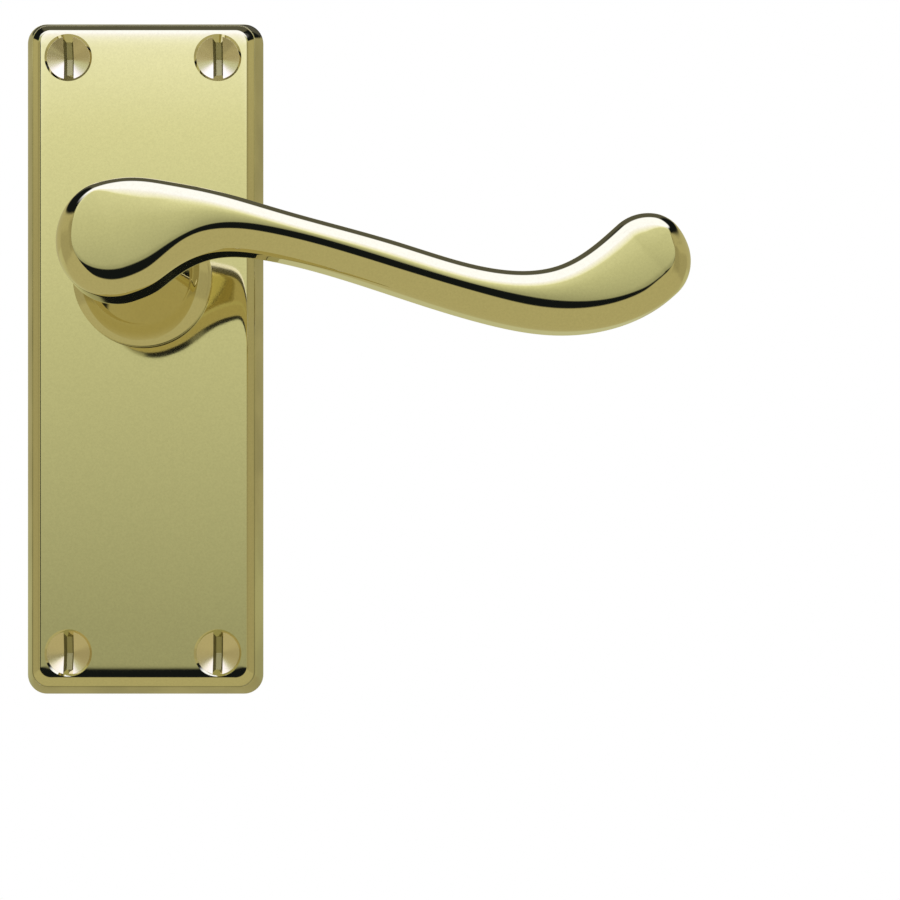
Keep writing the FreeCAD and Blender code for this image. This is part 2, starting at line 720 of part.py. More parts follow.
def make_return_spring():
    """One turn of wire round the bush, its two legs either side of the cam's tab and the post."""
    spring = body("return_spring")
    leg_side = "(tab_wide / 2 + tab_gap + spring_wire / 2)"
    leg_reach = f"({POST_OUTSIDE} + leg_spare)"
    bend_out = f"({SPRING_RADIUS} + spring_bend)"
    bend_across = f"({leg_side} + spring_bend)"
    bend_angle = f"asin({bend_across} / {bend_out})"
    lift = "(spring_wire + spring_gap)"
    front_wire = f"({COIL_FRONT} - spring_wire / 2)"
    back_wire = f"({front_wire} - {lift})"

    start = sketch(
        spring,
        "wire",
        placed=f"placement(vector(0; 0; {back_wire}); rotation({bend_angle} / 1 deg - 90; 0; 90))",
    )
    circle(start, SPRING_RADIUS, "0", "spring_wire")
    coil = spring.newObject("PartDesign::AdditiveHelix", "return_spring_coil")
    coil.Profile = start
    coil.ReferenceAxis = (start, ["V_Axis"])
    coil.Mode = "height-turns-angle"
    tie(coil, "Height", lift)
    tie(coil, "Turns", f"1 - {bend_angle} / 180 deg")
    doc.recompute()

    for side, height in (("", back_wire), ("-", front_wire)):
        name = "left" if side else "right"
        route = sketch(spring, f"{name}_leg", height=height)
        leg_route(route, side, leg_side, leg_reach, bend_across, bend_out)
        end = sketch(spring, f"{name}_leg_end", role="XY_Plane", height=f"-{leg_reach}")
        circle(end, f"{side}{leg_side}", f"-{height}", "spring_wire")
        pipe = spring.newObject("PartDesign::AdditivePipe", f"return_spring_{name}_leg_pipe")
        pipe.Profile = end
        pipe.Spine = route
        doc.recompute()


def leg_route(of, side, leg_side, leg_reach, bend_across, bend_out):
    """From the leg's tip straight up, then round a bend that meets the coil."""
    sign = -1 if side else 1
    x, r = size(leg_side), size("spring_bend")
    middle = Vector(sign * size(bend_across), -math.sqrt(size(bend_out) ** 2 - size(bend_across) ** 2), 0)
    tip = Vector(sign * x, -size(leg_reach), 0)
    of.addGeometry(Part.LineSegment(tip, Vector(sign * x, middle.y, 0)), False)
    swing = math.pi / 2 + math.asin(size(bend_across) / size(bend_out))
    bow = Part.Circle(middle, Vector(0, 0, 1), r)
    if sign > 0:
        of.addGeometry(Part.ArcOfCircle(bow, swing, math.pi), False)
        near, far = 2, 1
    else:
        of.addGeometry(Part.ArcOfCircle(bow, 0, math.pi - swing), False)
        near, far = 1, 2
    of.addConstraint(Sketcher.Constraint("Tangent", 0, 2, 1, near))
    hold_point(of, 0, 1, f"{side}{leg_side}", f"-{leg_reach}")
    of.addConstraint(Sketcher.Constraint("Vertical", 0))
    hold(of, "Radius", 1, formula="spring_bend")
    hold(of, "DistanceY", -1, 1, 1, 3, formula=f"-sqrt({bend_out} ^ 2 - {bend_across} ^ 2)")
    hold(of, "DistanceX", -1, 1, 1, far, formula=f"{side}{bend_across} * {SPRING_RADIUS} / {bend_out}")


def tongue_corners(angle, near, far, wide):
    """A rectangle that points outward at an angle, between two distances from the axis."""
    corners = []
    for out, side in ((near, "-"), (far, "-"), (far, ""), (near, "")):
        aside = f"{side}{wide} / 2"
        corners.append(
            (
                f"({out}) * cos({angle}) - ({aside}) * sin({angle})",
                f"({out}) * sin({angle}) + ({aside}) * cos({angle})",
            )
        )
    return corners


def make_spring_cover():
    """A pressed cover with the spring's post, two stops and a stepped ear either side."""
    cover = body("spring_cover")
    outline = sketch(cover, "disc", height=COVER_BACK)
    circle(outline, "0", "0", f"2 * {COVER_EDGE}")
    circle(outline, "0", "0", f"2 * {COVER_INSIDE}")
    pad(cover, outline, "cover_sheet")

    tab_middle = f"({POST_INSIDE} + cover_sheet / 2)"
    half_lug = f"asin(stop_wide / 2 / {tab_middle}) / 1 deg"
    half_tab = f"asin(tab_wide / 2 / {tab_middle}) / 1 deg"
    spare = f"atan(tab_gap / {tab_middle}) / 1 deg"
    away = f"(lever_swing + {half_lug} + {spare} + {half_tab})"
    near = f"({COVER_EDGE} + {COVER_INSIDE}) / 2"
    tabs = (
        ("post", "-90", COIL_FRONT),
        ("left_stop", f"(90 + {away})", CAM_FRONT),
        ("right_stop", f"(90 - {away})", CAM_FRONT),
    )
    for name, angle, top in tabs:
        flat = sketch(cover, f"{name}_tongue", height=COVER_BACK)
        polygon(flat, tongue_corners(angle, near, POST_OUTSIDE, "tab_wide"))
        pad(cover, flat, "cover_sheet")
        upright = sketch(cover, name, height=COVER_BACK)
        polygon(upright, tongue_corners(angle, POST_INSIDE, POST_OUTSIDE, "tab_wide"))
        pad(cover, upright, f"{top} - {COVER_BACK}")

    web_outside = f"({COVER_EDGE} - ear_gap)"
    ear_end = "(plate_wide / 2 - rim_wall - ear_gap)"
    for name, angle in (("right", "0"), ("left", "180")):
        web = sketch(cover, f"{name}_web", height=COVER_BACK)
        polygon(web, tongue_corners(angle, f"{web_outside} - cover_sheet", web_outside, "ear_wide"))
        pad(cover, web, f"{EAR_FRONT} - {COVER_BACK}")
        ear = sketch(cover, f"{name}_ear", height=EAR_BACK)
        polygon(ear, tongue_corners(angle, f"{web_outside} - cover_sheet", ear_end, "ear_wide"))
        pad(cover, ear, "cover_sheet")
    holes = sketch(cover, "screw_holes", height=EAR_BACK)
    for across, up in cover_screw_spots():
        circle(holes, across, up, "cover_screw + 2 * shank_clearance")
    pocket(cover, holes, "cover_sheet", outward=True)


def make_cover_screws():
    """Two pan-headed screws, slotted across."""
    screws = body("cover_screws")
    screws.AllowCompound = True
    head_back = f"({EAR_BACK} - cover_screw_head_tall)"
    heads = sketch(screws, "heads", height=head_back)
    shanks = sketch(screws, "shanks", height=head_back)
    slots = sketch(screws, "slots", height=head_back)
    half_long = "cover_screw_head"
    half_slot = "cover_screw_head / 10"
    for across, up in cover_screw_spots():
        circle(heads, across, up, "cover_screw_head")
        circle(shanks, across, up, "cover_screw")
        near, far = f"{across} - {half_long}", f"{across} + {half_long}"
        polygon(slots, [(near, f"-{half_slot}"), (far, f"-{half_slot}"), (far, half_slot), (near, half_slot)])
    pad(screws, heads, "cover_screw_head_tall")
    pad(screws, shanks, f"{EAR_FRONT} + cover_screw_bite - shank_clearance - {head_back}")
    pocket(screws, slots, "cover_screw_head_tall / 2", outward=True)


def make_spindle():
    spindle = body("spindle")
    half = "spindle_square / 2"
    outline = sketch(spindle, "square", height="-spindle_behind")
    rounded_box(outline, f"-{half}", half, f"-{half}", half, "spindle_corner")
    bar = pad(spindle, outline, "spindle_inside + spindle_behind")
    ends = [
        f"Face{i + 1}"
        for i, face in enumerate(bar.Shape.Faces)
        if abs(face.normalAt(0, 0).y) > 0.99
    ]
    bevel = spindle.newObject("PartDesign::Chamfer", "spindle_ends")
    bevel.Base = (bar, ends)
    tie(bevel, "Size", "spindle_bevel")
    doc.recompute()


def make_wood_screws():
    """Four countersunk slotted wood screws, their heads turned hollow, their slots upright."""
    screws = body("wood_screws")
    screws.AllowCompound = True
    rim = "(plate_thick - screw_sink)"
    tip = f"({rim} - screw_long)"
    head, shank, thread = "screw_head / 2", "screw_shank / 2", "screw_thread / 2"
    across, up = next(screw_spots())
    place = f"placement(vector(0; {up}; {across}); rotation(0; 0; 0))"
    side = sketch(screws, "side", role="YZ_Plane", placed=place)
    corners = [
        (f"-{rim}", head),
        (f"-{rim} + {head} - {shank}", shank),
        ("shank_behind", shank),
        ("shank_behind", thread),
        (f"-{tip} - screw_tip", thread),
        (f"-{tip}", "screw_point / 2"),
        (f"-{tip}", "0"),
        (f"-{rim} + screw_dish", "0"),
    ]
    polygon(side, corners)
    blank = turn(screws, side, "H_Axis")

    spread = screws.newObject("PartDesign::MultiTransform", "wood_screws_pattern")
    steps = []
    for name, axis, distance in (
        ("across", "N_Axis", "plate_wide - 2 * screw_side_inset"),
        ("upright", "V_Axis", "plate_tall - 2 * screw_end_inset"),
    ):
        step = screws.newObject("PartDesign::LinearPattern", f"wood_screws_{name}")
        step.Direction = (side, [axis])
        step.Occurrences = 2
        tie(step, "Length", distance)
        steps.append(step)
    spread.Originals = [blank]
    spread.Transformations = steps
    screws.Tip = spread
    doc.recompute()

    slots = sketch(screws, "slots", height=rim)
    half_slot, half_long = "slot_wide / 2", "screw_head"
    for across, up in screw_spots():
        left, right = f"{across} - {half_slot}", f"{across} + {half_slot}"
        low, high = f"{up} - {half_long}", f"{up} + {half_long}"
        polygon(slots, [(left, low), (right, low), (right, high), (left, high)])
    pocket(screws, slots, "slot_deep")


def build():
    make_backplate()
    make_lever()
    make_neck_bush()
    make_drive_cam()
    make_thrust_washer()
    make_circlip()
    make_return_spring()
    make_spring_cover()
    make_cover_screws()
    make_spindle()
    make_wood_screws()


build()


def finish():
    """Stop on anything that failed, then write one file per piece."""
    doc.recompute()
    for thing in doc.Objects:
        if "Invalid" in thing.State or "Error" in thing.State:
            raise RuntimeError(f"{thing.Name} failed: {thing.State}")
    os.makedirs("parts", exist_ok=True)
    for thing in doc.Objects:
        if thing.TypeId == "PartDesign::Body":
            shape = thing.Shape
            if shape.isNull() or not shape.isValid():
                raise RuntimeError(f"{thing.Label} has no valid shape")
            shape.exportStep(f"parts/{thing.Label}.step")
            box = shape.BoundBox
            print(thing.Label, len(shape.Solids), round(shape.Volume, 1), box)


finish()
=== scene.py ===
"""Scroll lever handle on a short backplate: the looks of a sprung door-handle set in brass.

The frame is the row frame in metres: +X along the lever, +Z up, the door behind. The spindle
axis is the origin, and a "height" here is a distance out from the door face, which is -Y.
Shapes are worked out in millimetres and turned to metres when their mesh is made.
"""

import math

import bmesh
import bpy
import numpy as np
from bpy.props import FloatProperty, FloatVectorProperty, IntProperty, PointerProperty
from mathutils import Euler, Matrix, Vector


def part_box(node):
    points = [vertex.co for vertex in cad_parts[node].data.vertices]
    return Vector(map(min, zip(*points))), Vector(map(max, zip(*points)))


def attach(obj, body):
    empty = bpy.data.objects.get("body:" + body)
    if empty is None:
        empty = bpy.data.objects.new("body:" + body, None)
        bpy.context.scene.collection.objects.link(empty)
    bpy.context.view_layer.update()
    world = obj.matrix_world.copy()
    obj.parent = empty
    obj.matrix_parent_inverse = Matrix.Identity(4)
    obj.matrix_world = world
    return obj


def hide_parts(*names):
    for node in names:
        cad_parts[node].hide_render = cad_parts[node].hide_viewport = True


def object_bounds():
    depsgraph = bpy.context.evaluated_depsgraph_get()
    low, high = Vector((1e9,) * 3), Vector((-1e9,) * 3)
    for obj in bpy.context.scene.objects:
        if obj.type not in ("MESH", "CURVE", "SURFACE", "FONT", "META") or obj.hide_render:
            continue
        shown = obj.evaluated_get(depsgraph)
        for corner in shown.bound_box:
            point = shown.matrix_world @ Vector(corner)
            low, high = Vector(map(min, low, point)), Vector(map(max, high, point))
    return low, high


bl_info = {
    "name": "Scroll Lever Handle",
    "version": (1, 0, 0),
    "blender": (4, 5, 0),
    "location": "3D View > Sidebar > Lever Handle",
    "description": "Finishes a sprung scroll lever handle on its backplate",
    "category": "Object",
}

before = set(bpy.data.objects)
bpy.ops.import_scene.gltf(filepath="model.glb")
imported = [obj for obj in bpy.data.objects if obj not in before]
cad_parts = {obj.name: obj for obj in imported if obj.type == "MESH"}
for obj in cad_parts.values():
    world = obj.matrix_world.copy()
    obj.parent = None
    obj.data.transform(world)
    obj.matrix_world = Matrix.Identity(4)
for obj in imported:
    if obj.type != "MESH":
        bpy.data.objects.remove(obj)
CAD_LOW, CAD_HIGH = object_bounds()
MM = 0.001

# The plate's box in millimetres, and how far its front stands from the door.
PLATE_LOW, PLATE_HIGH = (corner * 1000 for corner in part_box("backplate"))
PLATE_FRONT = -PLATE_LOW.y

# Behind the plate, in millimetres: the rim round the hollow, the back of the front wall, the
# radii of the bosses for the wood screws and the cover's screws, the two heights between
# which the cover's ears lie, the holes for shanks and threads, and the bush's bore and seat.
RIM_WALL = 2.6
WALL_BACK = 4.8
SCREW_BOSS, COVER_BOSS = 5.5, 2.9
EAR_BACK, EAR_FRONT = 2.3, 3.1
SHANK_HOLE, TAPPED_HOLE, TAPPED_DEEP = 2.25, 1.5, 2.6
BUSH_BORE, FLANGE_SEAT, FLANGE_DEEP = 8.9, 11.06, 0.5

# The lever's cross-sections from the head over the neck to the scroll end, in millimetres:
# place along and above the spindle axis, half the width across, back and front height, then
# the radii of the upper edge, its soft shoulder, the lower edge and its soft shoulder, the
# tilt in degrees up to which the front is bowed, and how far its crest is above the middle.
LEVER_STATIONS = (
    (-1.4, -0.25, 8.9, 38.0, 52.5, 2.8, 10.0, 2.6, 12.0, 2.0, 0.8),
    (3.5, 1.25, 8.3, 38.2, 52.5, 2.8, 9.0, 2.7, 11.5, 2.2, 0.9),
    (8.0, 2.2, 6.6, 38.8, 52.4, 2.8, 6.5, 3.0, 10.0, 3.0, 1.0),
    (13.0, 2.6, 5.05, 39.4, 52.0, 2.8, 4.5, 3.5, 8.5, 4.5, 1.0),
    (24.0, 0.9, 3.65, 40.0, 51.4, 2.8, 2.9, 3.8, 7.6, 5.0, 0.85),
    (42.0, -4.1, 3.7, 40.0, 51.0, 2.9, 2.9, 4.0, 7.6, 5.0, 0.8),
    (58.0, -8.7, 4.0, 40.0, 51.0, 2.9, 2.9, 4.1, 8.5, 5.0, 0.85),
    (69.0, -9.2, 5.2, 40.0, 51.0, 2.9, 4.5, 3.4, 11.0, 3.5, 1.0),
    (81.8, -3.05, 7.05, 40.0, 51.0, 3.0, 5.5, 3.0, 9.0, 2.2, 0.5),
)
# which way the lever's middle line runs at the head and at the scroll end
HEAD_ANGLE = math.radians(17)
SCROLL_ANGLE = math.radians(42)
# Where it is firm, the soft shoulder shrinks to this radius and ends at this tilt.
FIRM_SHOULDER = 2.0
FIRM_TILT = math.radians(6)
# How the rims round both ends come in and go again: for crisp, firm and wide, the degrees
# round the end at which each starts, is whole, begins to ease off and has gone.
HEAD_RIM = ((-22, 4, 80, 170), (-45, 8, 80, 170), (-17, 73, 80, 170))
SCROLL_RIM = ((50, 80, 100, 205), (30, 80, 105, 200), (50, 110, 105, 215))

# The lever's outline turned about the spindle, as height from the door, radius and edge
# rounding: the tail up to the bell's rim, and the neck above the bell.
TAIL_OUTLINE = (
    (0.2, 7.5, 0.0),
    (0.55, 7.5, 0.0),
    (0.55, 6.8, 0.0),
    (1.5, 6.8, 0.0),
    (1.5, 7.5, 0.0),
    (2.85, 7.5, 0.0),
    (6.85, 7.5, 0.1),
    (6.85, 12.0, 0.05),
    (8.2, 12.0, 0.1),
    (8.5, 11.74, 0.0),
)
# the bell's hollow flare: the middle and radius of its arc, and where it meets the neck
BELL_MIDDLE = (15.59, 18.74)
BELL_ROUND = 10.0
BELL_TOP = (13.8, 8.9)
NECK_OUTLINE = (
    (13.8, 8.9, 0.0),
    (28.0, 6.45, 5.0),
    (33.8, 6.45, 4.0),
    (39.55, 7.6, 0.0),
)
# half the width over the tail's flats and how high they reach; half the side of the square
# socket and how deep it goes
TAIL_FLAT = 6.6
FLATS_TOP = 2.85
SOCKET_SIDE = 4.05
SOCKET_END = 24.5

# The wood screws, in millimetres: shank and core radius, how long the tip's taper is and the
# radius in its point, and the height at which the thread ends behind the plate.
SCREW_SHANK, SCREW_CORE = 2.1, 1.25
TIP_TAPER, TIP_POINT = 3.4, 0.3
THREAD_END = -0.9

# Colour Mix nodes have several sockets of one name, so theirs go by number.
SHARE, FIRST, SECOND = 0, 6, 7


# --- small tools --------------------------------------------------------------------------


def linear(code):
    """An sRGB hex value as the linear colour that a shader takes."""
    parts = [int(code[i : i + 2], 16) / 255 for i in (1, 3, 5)]
    return [p / 12.92 if p <= 0.04045 else ((p + 0.055) / 1.055) ** 2.4 for p in parts]


def rgba(colour):
    """The colour with a full alpha."""
    return (*tuple(colour)[:3], 1.0)


def millimetres(metres):
    """A length of the scene in the unit in which shapes are worked out."""
    return metres * 1000


def add_node(tree, kind, links=None, **settings):
    """One node with its settings; links gives an input a value or another node's socket."""
    new = tree.nodes.new(kind)
    for name, value in settings.items():
        setattr(new, name, value)
    for socket, source in (links or {}).items():
        target = new.inputs[socket]
        if isinstance(source, bpy.types.NodeSocket):
            tree.links.new(source, target)
        else:
            target.default_value = source
    return new


def new_mesh(name, points, faces, edges=()):
    """A mesh from points in millimetres, as (along, height from the door, up)."""
    points = np.asarray(points, float)
    mesh = bpy.data.meshes.new(name)
    placed = np.column_stack((points[:, 0], -points[:, 1], points[:, 2])) * MM
    mesh.from_pydata(placed.tolist(), list(edges), [list(f) for f in faces])
    mesh.update()
    return mesh


def new_object(name, mesh):
    """An object at the origin that shows the mesh."""
    thing = bpy.data.objects.new(name, mesh)
    bpy.context.scene.collection.objects.link(thing)
    return thing


def tidy_shell(mesh, merge=1e-7, sharp=30):
    """Merge doubled points, face every wall outwards, and shade smooth up to an angle."""
    shell = bmesh.new()
    shell.from_mesh(mesh)
    bmesh.ops.remove_doubles(shell, verts=shell.verts, dist=merge)
    bmesh.ops.dissolve_degenerate(shell, edges=shell.edges, dist=merge)
    bmesh.ops.recalc_face_normals(shell, faces=shell.faces)
    shell.to_mesh(mesh)
    shell.free()
    mesh.polygons.foreach_set("use_smooth", [True] * len(mesh.polygons))
    mesh.set_sharp_from_angle(angle=math.radians(sharp))
    mesh.update()


def skin_rings(rings, start=None, end=None):
    """A skin over rings of equally many points, its ends closed by a face or by a point."""
    count = len(rings[0])
    points = np.concatenate(rings)
    faces = []
    for i in range(len(rings) - 1):
        a, b = i * count, (i + 1) * count
        for j in range(count):
            k = (j + 1) % count
            faces.append((a + j, a + k, b + k, b + j))
    for place, ring in ((start, 0), (end, (len(rings) - 1) * count)):
        if place is None:
            faces.append(tuple(range(ring, ring + count)))
            continue
        points = np.vstack((points, place))
        tip = len(points) - 1
        faces += [(ring + j, ring + (j + 1) % count, tip) for j in range(count)]
    return points, faces


def rounded_line(corners, steps=4):
    """A line through corners, each given with the radius that rounds it."""
    line = [np.array(corners[0][:2], float)]
    for before, here, after in zip(corners, corners[1:], corners[2:]):
        back, spot, on = (np.array(c[:2], float) for c in (before, here, after))
        radius = here[2]
        if radius <= 0:
            line.append(spot)
            continue
        a = (back - spot) / np.linalg.norm(back - spot)
        b = (on - spot) / np.linalg.norm(on - spot)
        half = math.acos(np.clip(a @ b, -1, 1)) / 2
        reach = radius / math.tan(half)
        limit = 0.49 * min(np.linalg.norm(back - spot), np.linalg.norm(on - spot))
        if reach > limit:
            reach = limit
            radius = reach * math.tan(half)
        middle = spot + (a + b) / np.linalg.norm(a + b) * radius / math.sin(half)
        v0, v1 = spot + a * reach - middle, spot + b * reach - middle
        turn = math.pi - 2 * half
        for k in range(steps + 1):
            t = k / steps
            arm = (math.sin((1 - t) * turn) * v0 + math.sin(t * turn) * v1) / math.sin(turn)
            line.append(middle + arm)
    line.append(np.array(corners[-1][:2], float))
    return np.array(line)


def turned(outline, count=96, at=(0.0, 0.0)):
    """Rings about an axis that stands out of the door, from (height, radius) pairs."""
    around = np.linspace(0, 2 * math.pi, count, endpoint=False)
    return [
        np.column_stack(
            (
                at[0] + radius * np.cos(around),
                np.full(count, height),
                at[1] + radius * np.sin(around),
            )
        )
        for height, radius in outline
    ]


def gather(shells):
    """Several (points, faces) pairs as one."""
    points, faces, base = [], [], 0
    for some, walls in shells:
        points.append(some)
        faces += [tuple(i + base for i in wall) for wall in walls]
        base += len(some)
    return np.concatenate(points), faces


def settled(thing):
    """The object's modifiers worked into its mesh."""
    bpy.context.view_layer.update()
    evaluated = thing.evaluated_get(bpy.context.evaluated_depsgraph_get())
    mesh = bpy.data.meshes.new_from_object(evaluated)
    thing.modifiers.clear()
    old = thing.data
    thing.data = mesh
    mesh.name = thing.name
    bpy.data.meshes.remove(old)
    return thing


def cut_or_join(thing, operation, points, faces):
    """Adds or takes away closed shells from the object's mesh."""
    other_mesh = new_mesh("tool", points, faces)
    tidy_shell(other_mesh)
    other = new_object("tool", other_mesh)
    modifier = thing.modifiers.new("cut_or_join", "BOOLEAN")
    modifier.operation = operation
    modifier.solver = "EXACT"
    modifier.object = other
    settled(thing)
    bpy.data.objects.remove(other)
    bpy.data.meshes.remove(other_mesh)


def smooth_through(places, values, first, last):
    """A smooth curve through values at places, with its slope given at both ends."""
    p, v = np.asarray(places, float), np.asarray(values, float)
    n, gap = len(p), np.diff(p)
    # each inner slope m keeps the curvature the same on both sides of its place
    slopes = np.zeros((n, n))
    right = np.zeros(n)
    slopes[0, 0] = slopes[-1, -1] = 1
    right[0], right[-1] = first, last
    for i in range(1, n - 1):
        slopes[i, i - 1 : i + 2] = 1 / gap[i - 1], 2 / gap[i - 1] + 2 / gap[i], 1 / gap[i]
        rise = (v[i] - v[i - 1]) / gap[i - 1] ** 2 + (v[i + 1] - v[i]) / gap[i] ** 2
        right[i] = 3 * rise
    m = np.linalg.solve(slopes, right)

    def at(t):
        i = np.clip(np.searchsorted(p, t, side="right") - 1, 0, n - 2)
        h = gap[i]
        s = (t - p[i]) / h
        return (
            (1 + 2 * s) * (1 - s) ** 2 * v[i]
            + s * (1 - s) ** 2 * h * m[i]
            + s * s * (3 - 2 * s) * v[i + 1]
            + s * s * (s - 1) * h * m[i + 1]
        )

    return at


# --- what a user would change -------------------------------------------------------------


class PlateLook(bpy.types.PropertyGroup):
    """The backplate's rolled edge and the holes in it."""

    corner: FloatProperty(
        name="Corner radius", description="Of the outline on the door",
        default=3.4 * MM, min=0.0, subtype="DISTANCE", unit="LENGTH",
    )
    foot: FloatProperty(
        name="Upright edge", description="Height of the upright part of the edge",
        default=0.5 * MM, min=0.0, subtype="DISTANCE", unit="LENGTH",
    )
    flank: FloatProperty(
        name="Flank width", description="How far the steep flank leans in",
        default=1.38 * MM, min=0.0, subtype="DISTANCE", unit="LENGTH",
    )
    flank_rise: FloatProperty(
        name="Flank height", description="Height from the door of the groove above the flank",
        default=4.98 * MM, min=0.0, subtype="DISTANCE", unit="LENGTH",
    )
    bevel_slope: FloatProperty(
        name="Bevel slope", description="Of the bevel above the flank",
        default=math.radians(48.5), subtype="ANGLE", unit="ROTATION",
    )
    round_off: FloatProperty(
        name="Bevel rounding", description="Radius from the bevel to the front",
        default=0.6 * MM, min=0.0, subtype="DISTANCE", unit="LENGTH",
    )
    crown: FloatProperty(
        name="Crown fade", description="How fast the front levels out away from the bevel",
        default=0.75 * MM, min=0.0, subtype="DISTANCE", unit="LENGTH",
    )
    crown_tilt: FloatProperty(
        name="Crown tilt", description="How steep the front is where it meets the bevel",
        default=math.radians(12), subtype="ANGLE", unit="ROTATION",
    )
    screw_side: FloatProperty(
        name="Screws from side", description="From the plate's side to a screw's centre",
        default=7.75 * MM, min=0.0, subtype="DISTANCE", unit="LENGTH",
    )
    screw_end: FloatProperty(
        name="Screws from end", description="From the plate's end to a screw's centre",
        default=7.25 * MM, min=0.0, subtype="DISTANCE", unit="LENGTH",
    )
    sink: FloatProperty(
        name="Countersink", description="Diameter of the countersink at the front",
        default=8.3 * MM, min=0.0, subtype="DISTANCE", unit="LENGTH",
    )


class LeverLook(bpy.types.PropertyGroup):
    """How the lever's cross-section is dressed."""

    edges: FloatProperty(
        name="Front edges", description="Scales the rounding of the two front edges",
        default=1.0, min=0.2, max=1.2, subtype="FACTOR",
    )
    shoulder: FloatProperty(
        name="Shoulder tilt", description="How steep the soft shoulder is where the edge begins",
        default=math.radians(14.5), subtype="ANGLE", unit="ROTATION",
    )
    rim: FloatProperty(
        name="End rim tilt", description="How steep the rims round both ends begin",
        default=math.radians(36), subtype="ANGLE", unit="ROTATION",
    )
    rim_round: FloatProperty(
        name="End rim radius", description="How rounded the rims round both ends are",
        default=7.0 * MM, min=0.0, subtype="DISTANCE", unit="LENGTH",
    )
    lean: FloatProperty(
        name="Face lean", description="How far the front faces downwards",
        default=math.radians(1.6), subtype="ANGLE", unit="ROTATION",
    )
    back_edge: FloatProperty(
        name="Back edge radius", description="Rounding along the edges that face the door",
        default=2.5 * MM, min=0.0, subtype="DISTANCE", unit="LENGTH",
    )


class ScrewLook(bpy.types.PropertyGroup):
    """The four dished and slotted wood screws."""

    head: FloatProperty(
        name="Head diameter", description="Of the wood screws",
        default=7.5 * MM, min=0.0, subtype="DISTANCE", unit="LENGTH",
    )
    sunk: FloatProperty(
        name="Head sunk", description="How far the head's rim lies under the plate's front",
        default=0.4 * MM, min=0.0, subtype="DISTANCE", unit="LENGTH",
    )
    dish: FloatProperty(
        name="Dish slope", description="Slope of the turned hollow in the head",
        default=math.radians(17.75), subtype="ANGLE", unit="ROTATION",
    )
    slot: FloatProperty(
        name="Slot width", description="Of the driver slot",
        default=1.7 * MM, min=0.0, subtype="DISTANCE", unit="LENGTH",
    )
    slot_deep: FloatProperty(
        name="Slot depth", description="Under the head's rim",
        default=0.65 * MM, min=0.0, subtype="DISTANCE", unit="LENGTH",
    )
    slot_fall: FloatProperty(
        name="Slot fall", description="Slope of the slot's floor towards the middle",
        default=math.radians(13.5), subtype="ANGLE", unit="ROTATION",
    )
    pitch: FloatProperty(
        name="Thread pitch", description="Of the wood screws",
        default=1.6 * MM, min=0.0, subtype="DISTANCE", unit="LENGTH",
    )
    stray: FloatProperty(
        name="Slot stray", description="How far a slot may be off upright",
        default=math.radians(1.5), subtype="ANGLE", unit="ROTATION",
    )


class SpringLook(bpy.types.PropertyGroup):
    """The return spring: one turn of wire whose two legs stand on the cam's lug."""

    wire: FloatProperty(
        name="Wire diameter", description="Of the return spring",
        default=0.9 * MM, min=0.0, subtype="DISTANCE", unit="LENGTH",
    )
    coil: FloatProperty(
        name="Coil radius", description="To the middle of the wire",
        default=9.75 * MM, min=0.0, subtype="DISTANCE", unit="LENGTH",
    )
    legs: FloatProperty(
        name="Leg spacing", description="From the middle to each leg",
        default=2.25 * MM, min=0.0, subtype="DISTANCE", unit="LENGTH",
    )
    bend: FloatProperty(
        name="Bend radius", description="From the coil into a leg",
        default=1.2 * MM, min=0.0, subtype="DISTANCE", unit="LENGTH",
    )
    around: IntProperty(
        name="Sides of the wire", description="Facets round the wire", default=20, min=6,
    )


class FinishLook(bpy.types.PropertyGroup):
    """Colours and gloss of the finishes."""

    screw_brass: FloatVectorProperty(
        name="Screw brass", description="Colour of the paler brass of the wood screws",
        default=linear("#F6E8C8"), size=3, min=0.0, max=1.0, subtype="COLOR",
    )
    slot_brass: FloatVectorProperty(
        name="Slot brass", description="Colour of the dull brass in the screws' slots",
        default=linear("#BFB684"), size=3, min=0.0, max=1.0, subtype="COLOR",
    )
    brass: FloatVectorProperty(
        name="Polished brass", description="Colour of the polished brass",
        default=linear("#E7DEB6"), size=3, min=0.0, max=1.0, subtype="COLOR",
    )
    raw_brass: FloatVectorProperty(
        name="Pressed brass", description="Colour of the brass behind the plate",
        default=linear("#B79A5A"), size=3, min=0.0, max=1.0, subtype="COLOR",
    )
    nylon: FloatVectorProperty(
        name="Nylon", description="Colour of the bush",
        default=linear("#E9E6DC"), size=3, min=0.0, max=1.0, subtype="COLOR",
    )
    gloss: FloatProperty(
        name="Brass roughness", description="Of the polished brass",
        default=0.035, min=0.0, max=1.0, subtype="FACTOR",
    )


class StudioLook(bpy.types.PropertyGroup):
    """The studio round the handle, which the polished brass mirrors."""

    floor: FloatVectorProperty(
        name="Floor", description="Colour of the floor",
        default=linear("#EFEDE8"), size=3, min=0.0, max=1.0, subtype="COLOR",
    )
    room: FloatVectorProperty(
        name="Warm room", description="What lies round and below the handle",
        default=(0.49, 0.458, 0.249), size=3, min=0.0, max=1.0, subtype="COLOR",
    )
    softbox: FloatVectorProperty(
        name="Softbox", description="Light of the softbox overhead, as the brass mirrors it",
        default=(1.27, 1.36, 1.9), size=3, min=0.0, soft_max=4.0, subtype="COLOR",
    )
    focal: FloatProperty(
        name="Lens", description="Focal length in millimetres", default=90.64, min=1.0,
    )


LOOKS = {
    "handle_plate": PlateLook,
    "handle_lever": LeverLook,
    "handle_screws": ScrewLook,
    "handle_spring": SpringLook,
    "handle_finish": FinishLook,
    "handle_studio": StudioLook,
}


# --- finishes -----------------------------------------------------------------------------


def blank_material(name):
    """A material with an empty tree, and the tree."""
    material = bpy.data.materials.new(name)
    material.use_nodes = True
    material.node_tree.nodes.clear()
    return material, material.node_tree


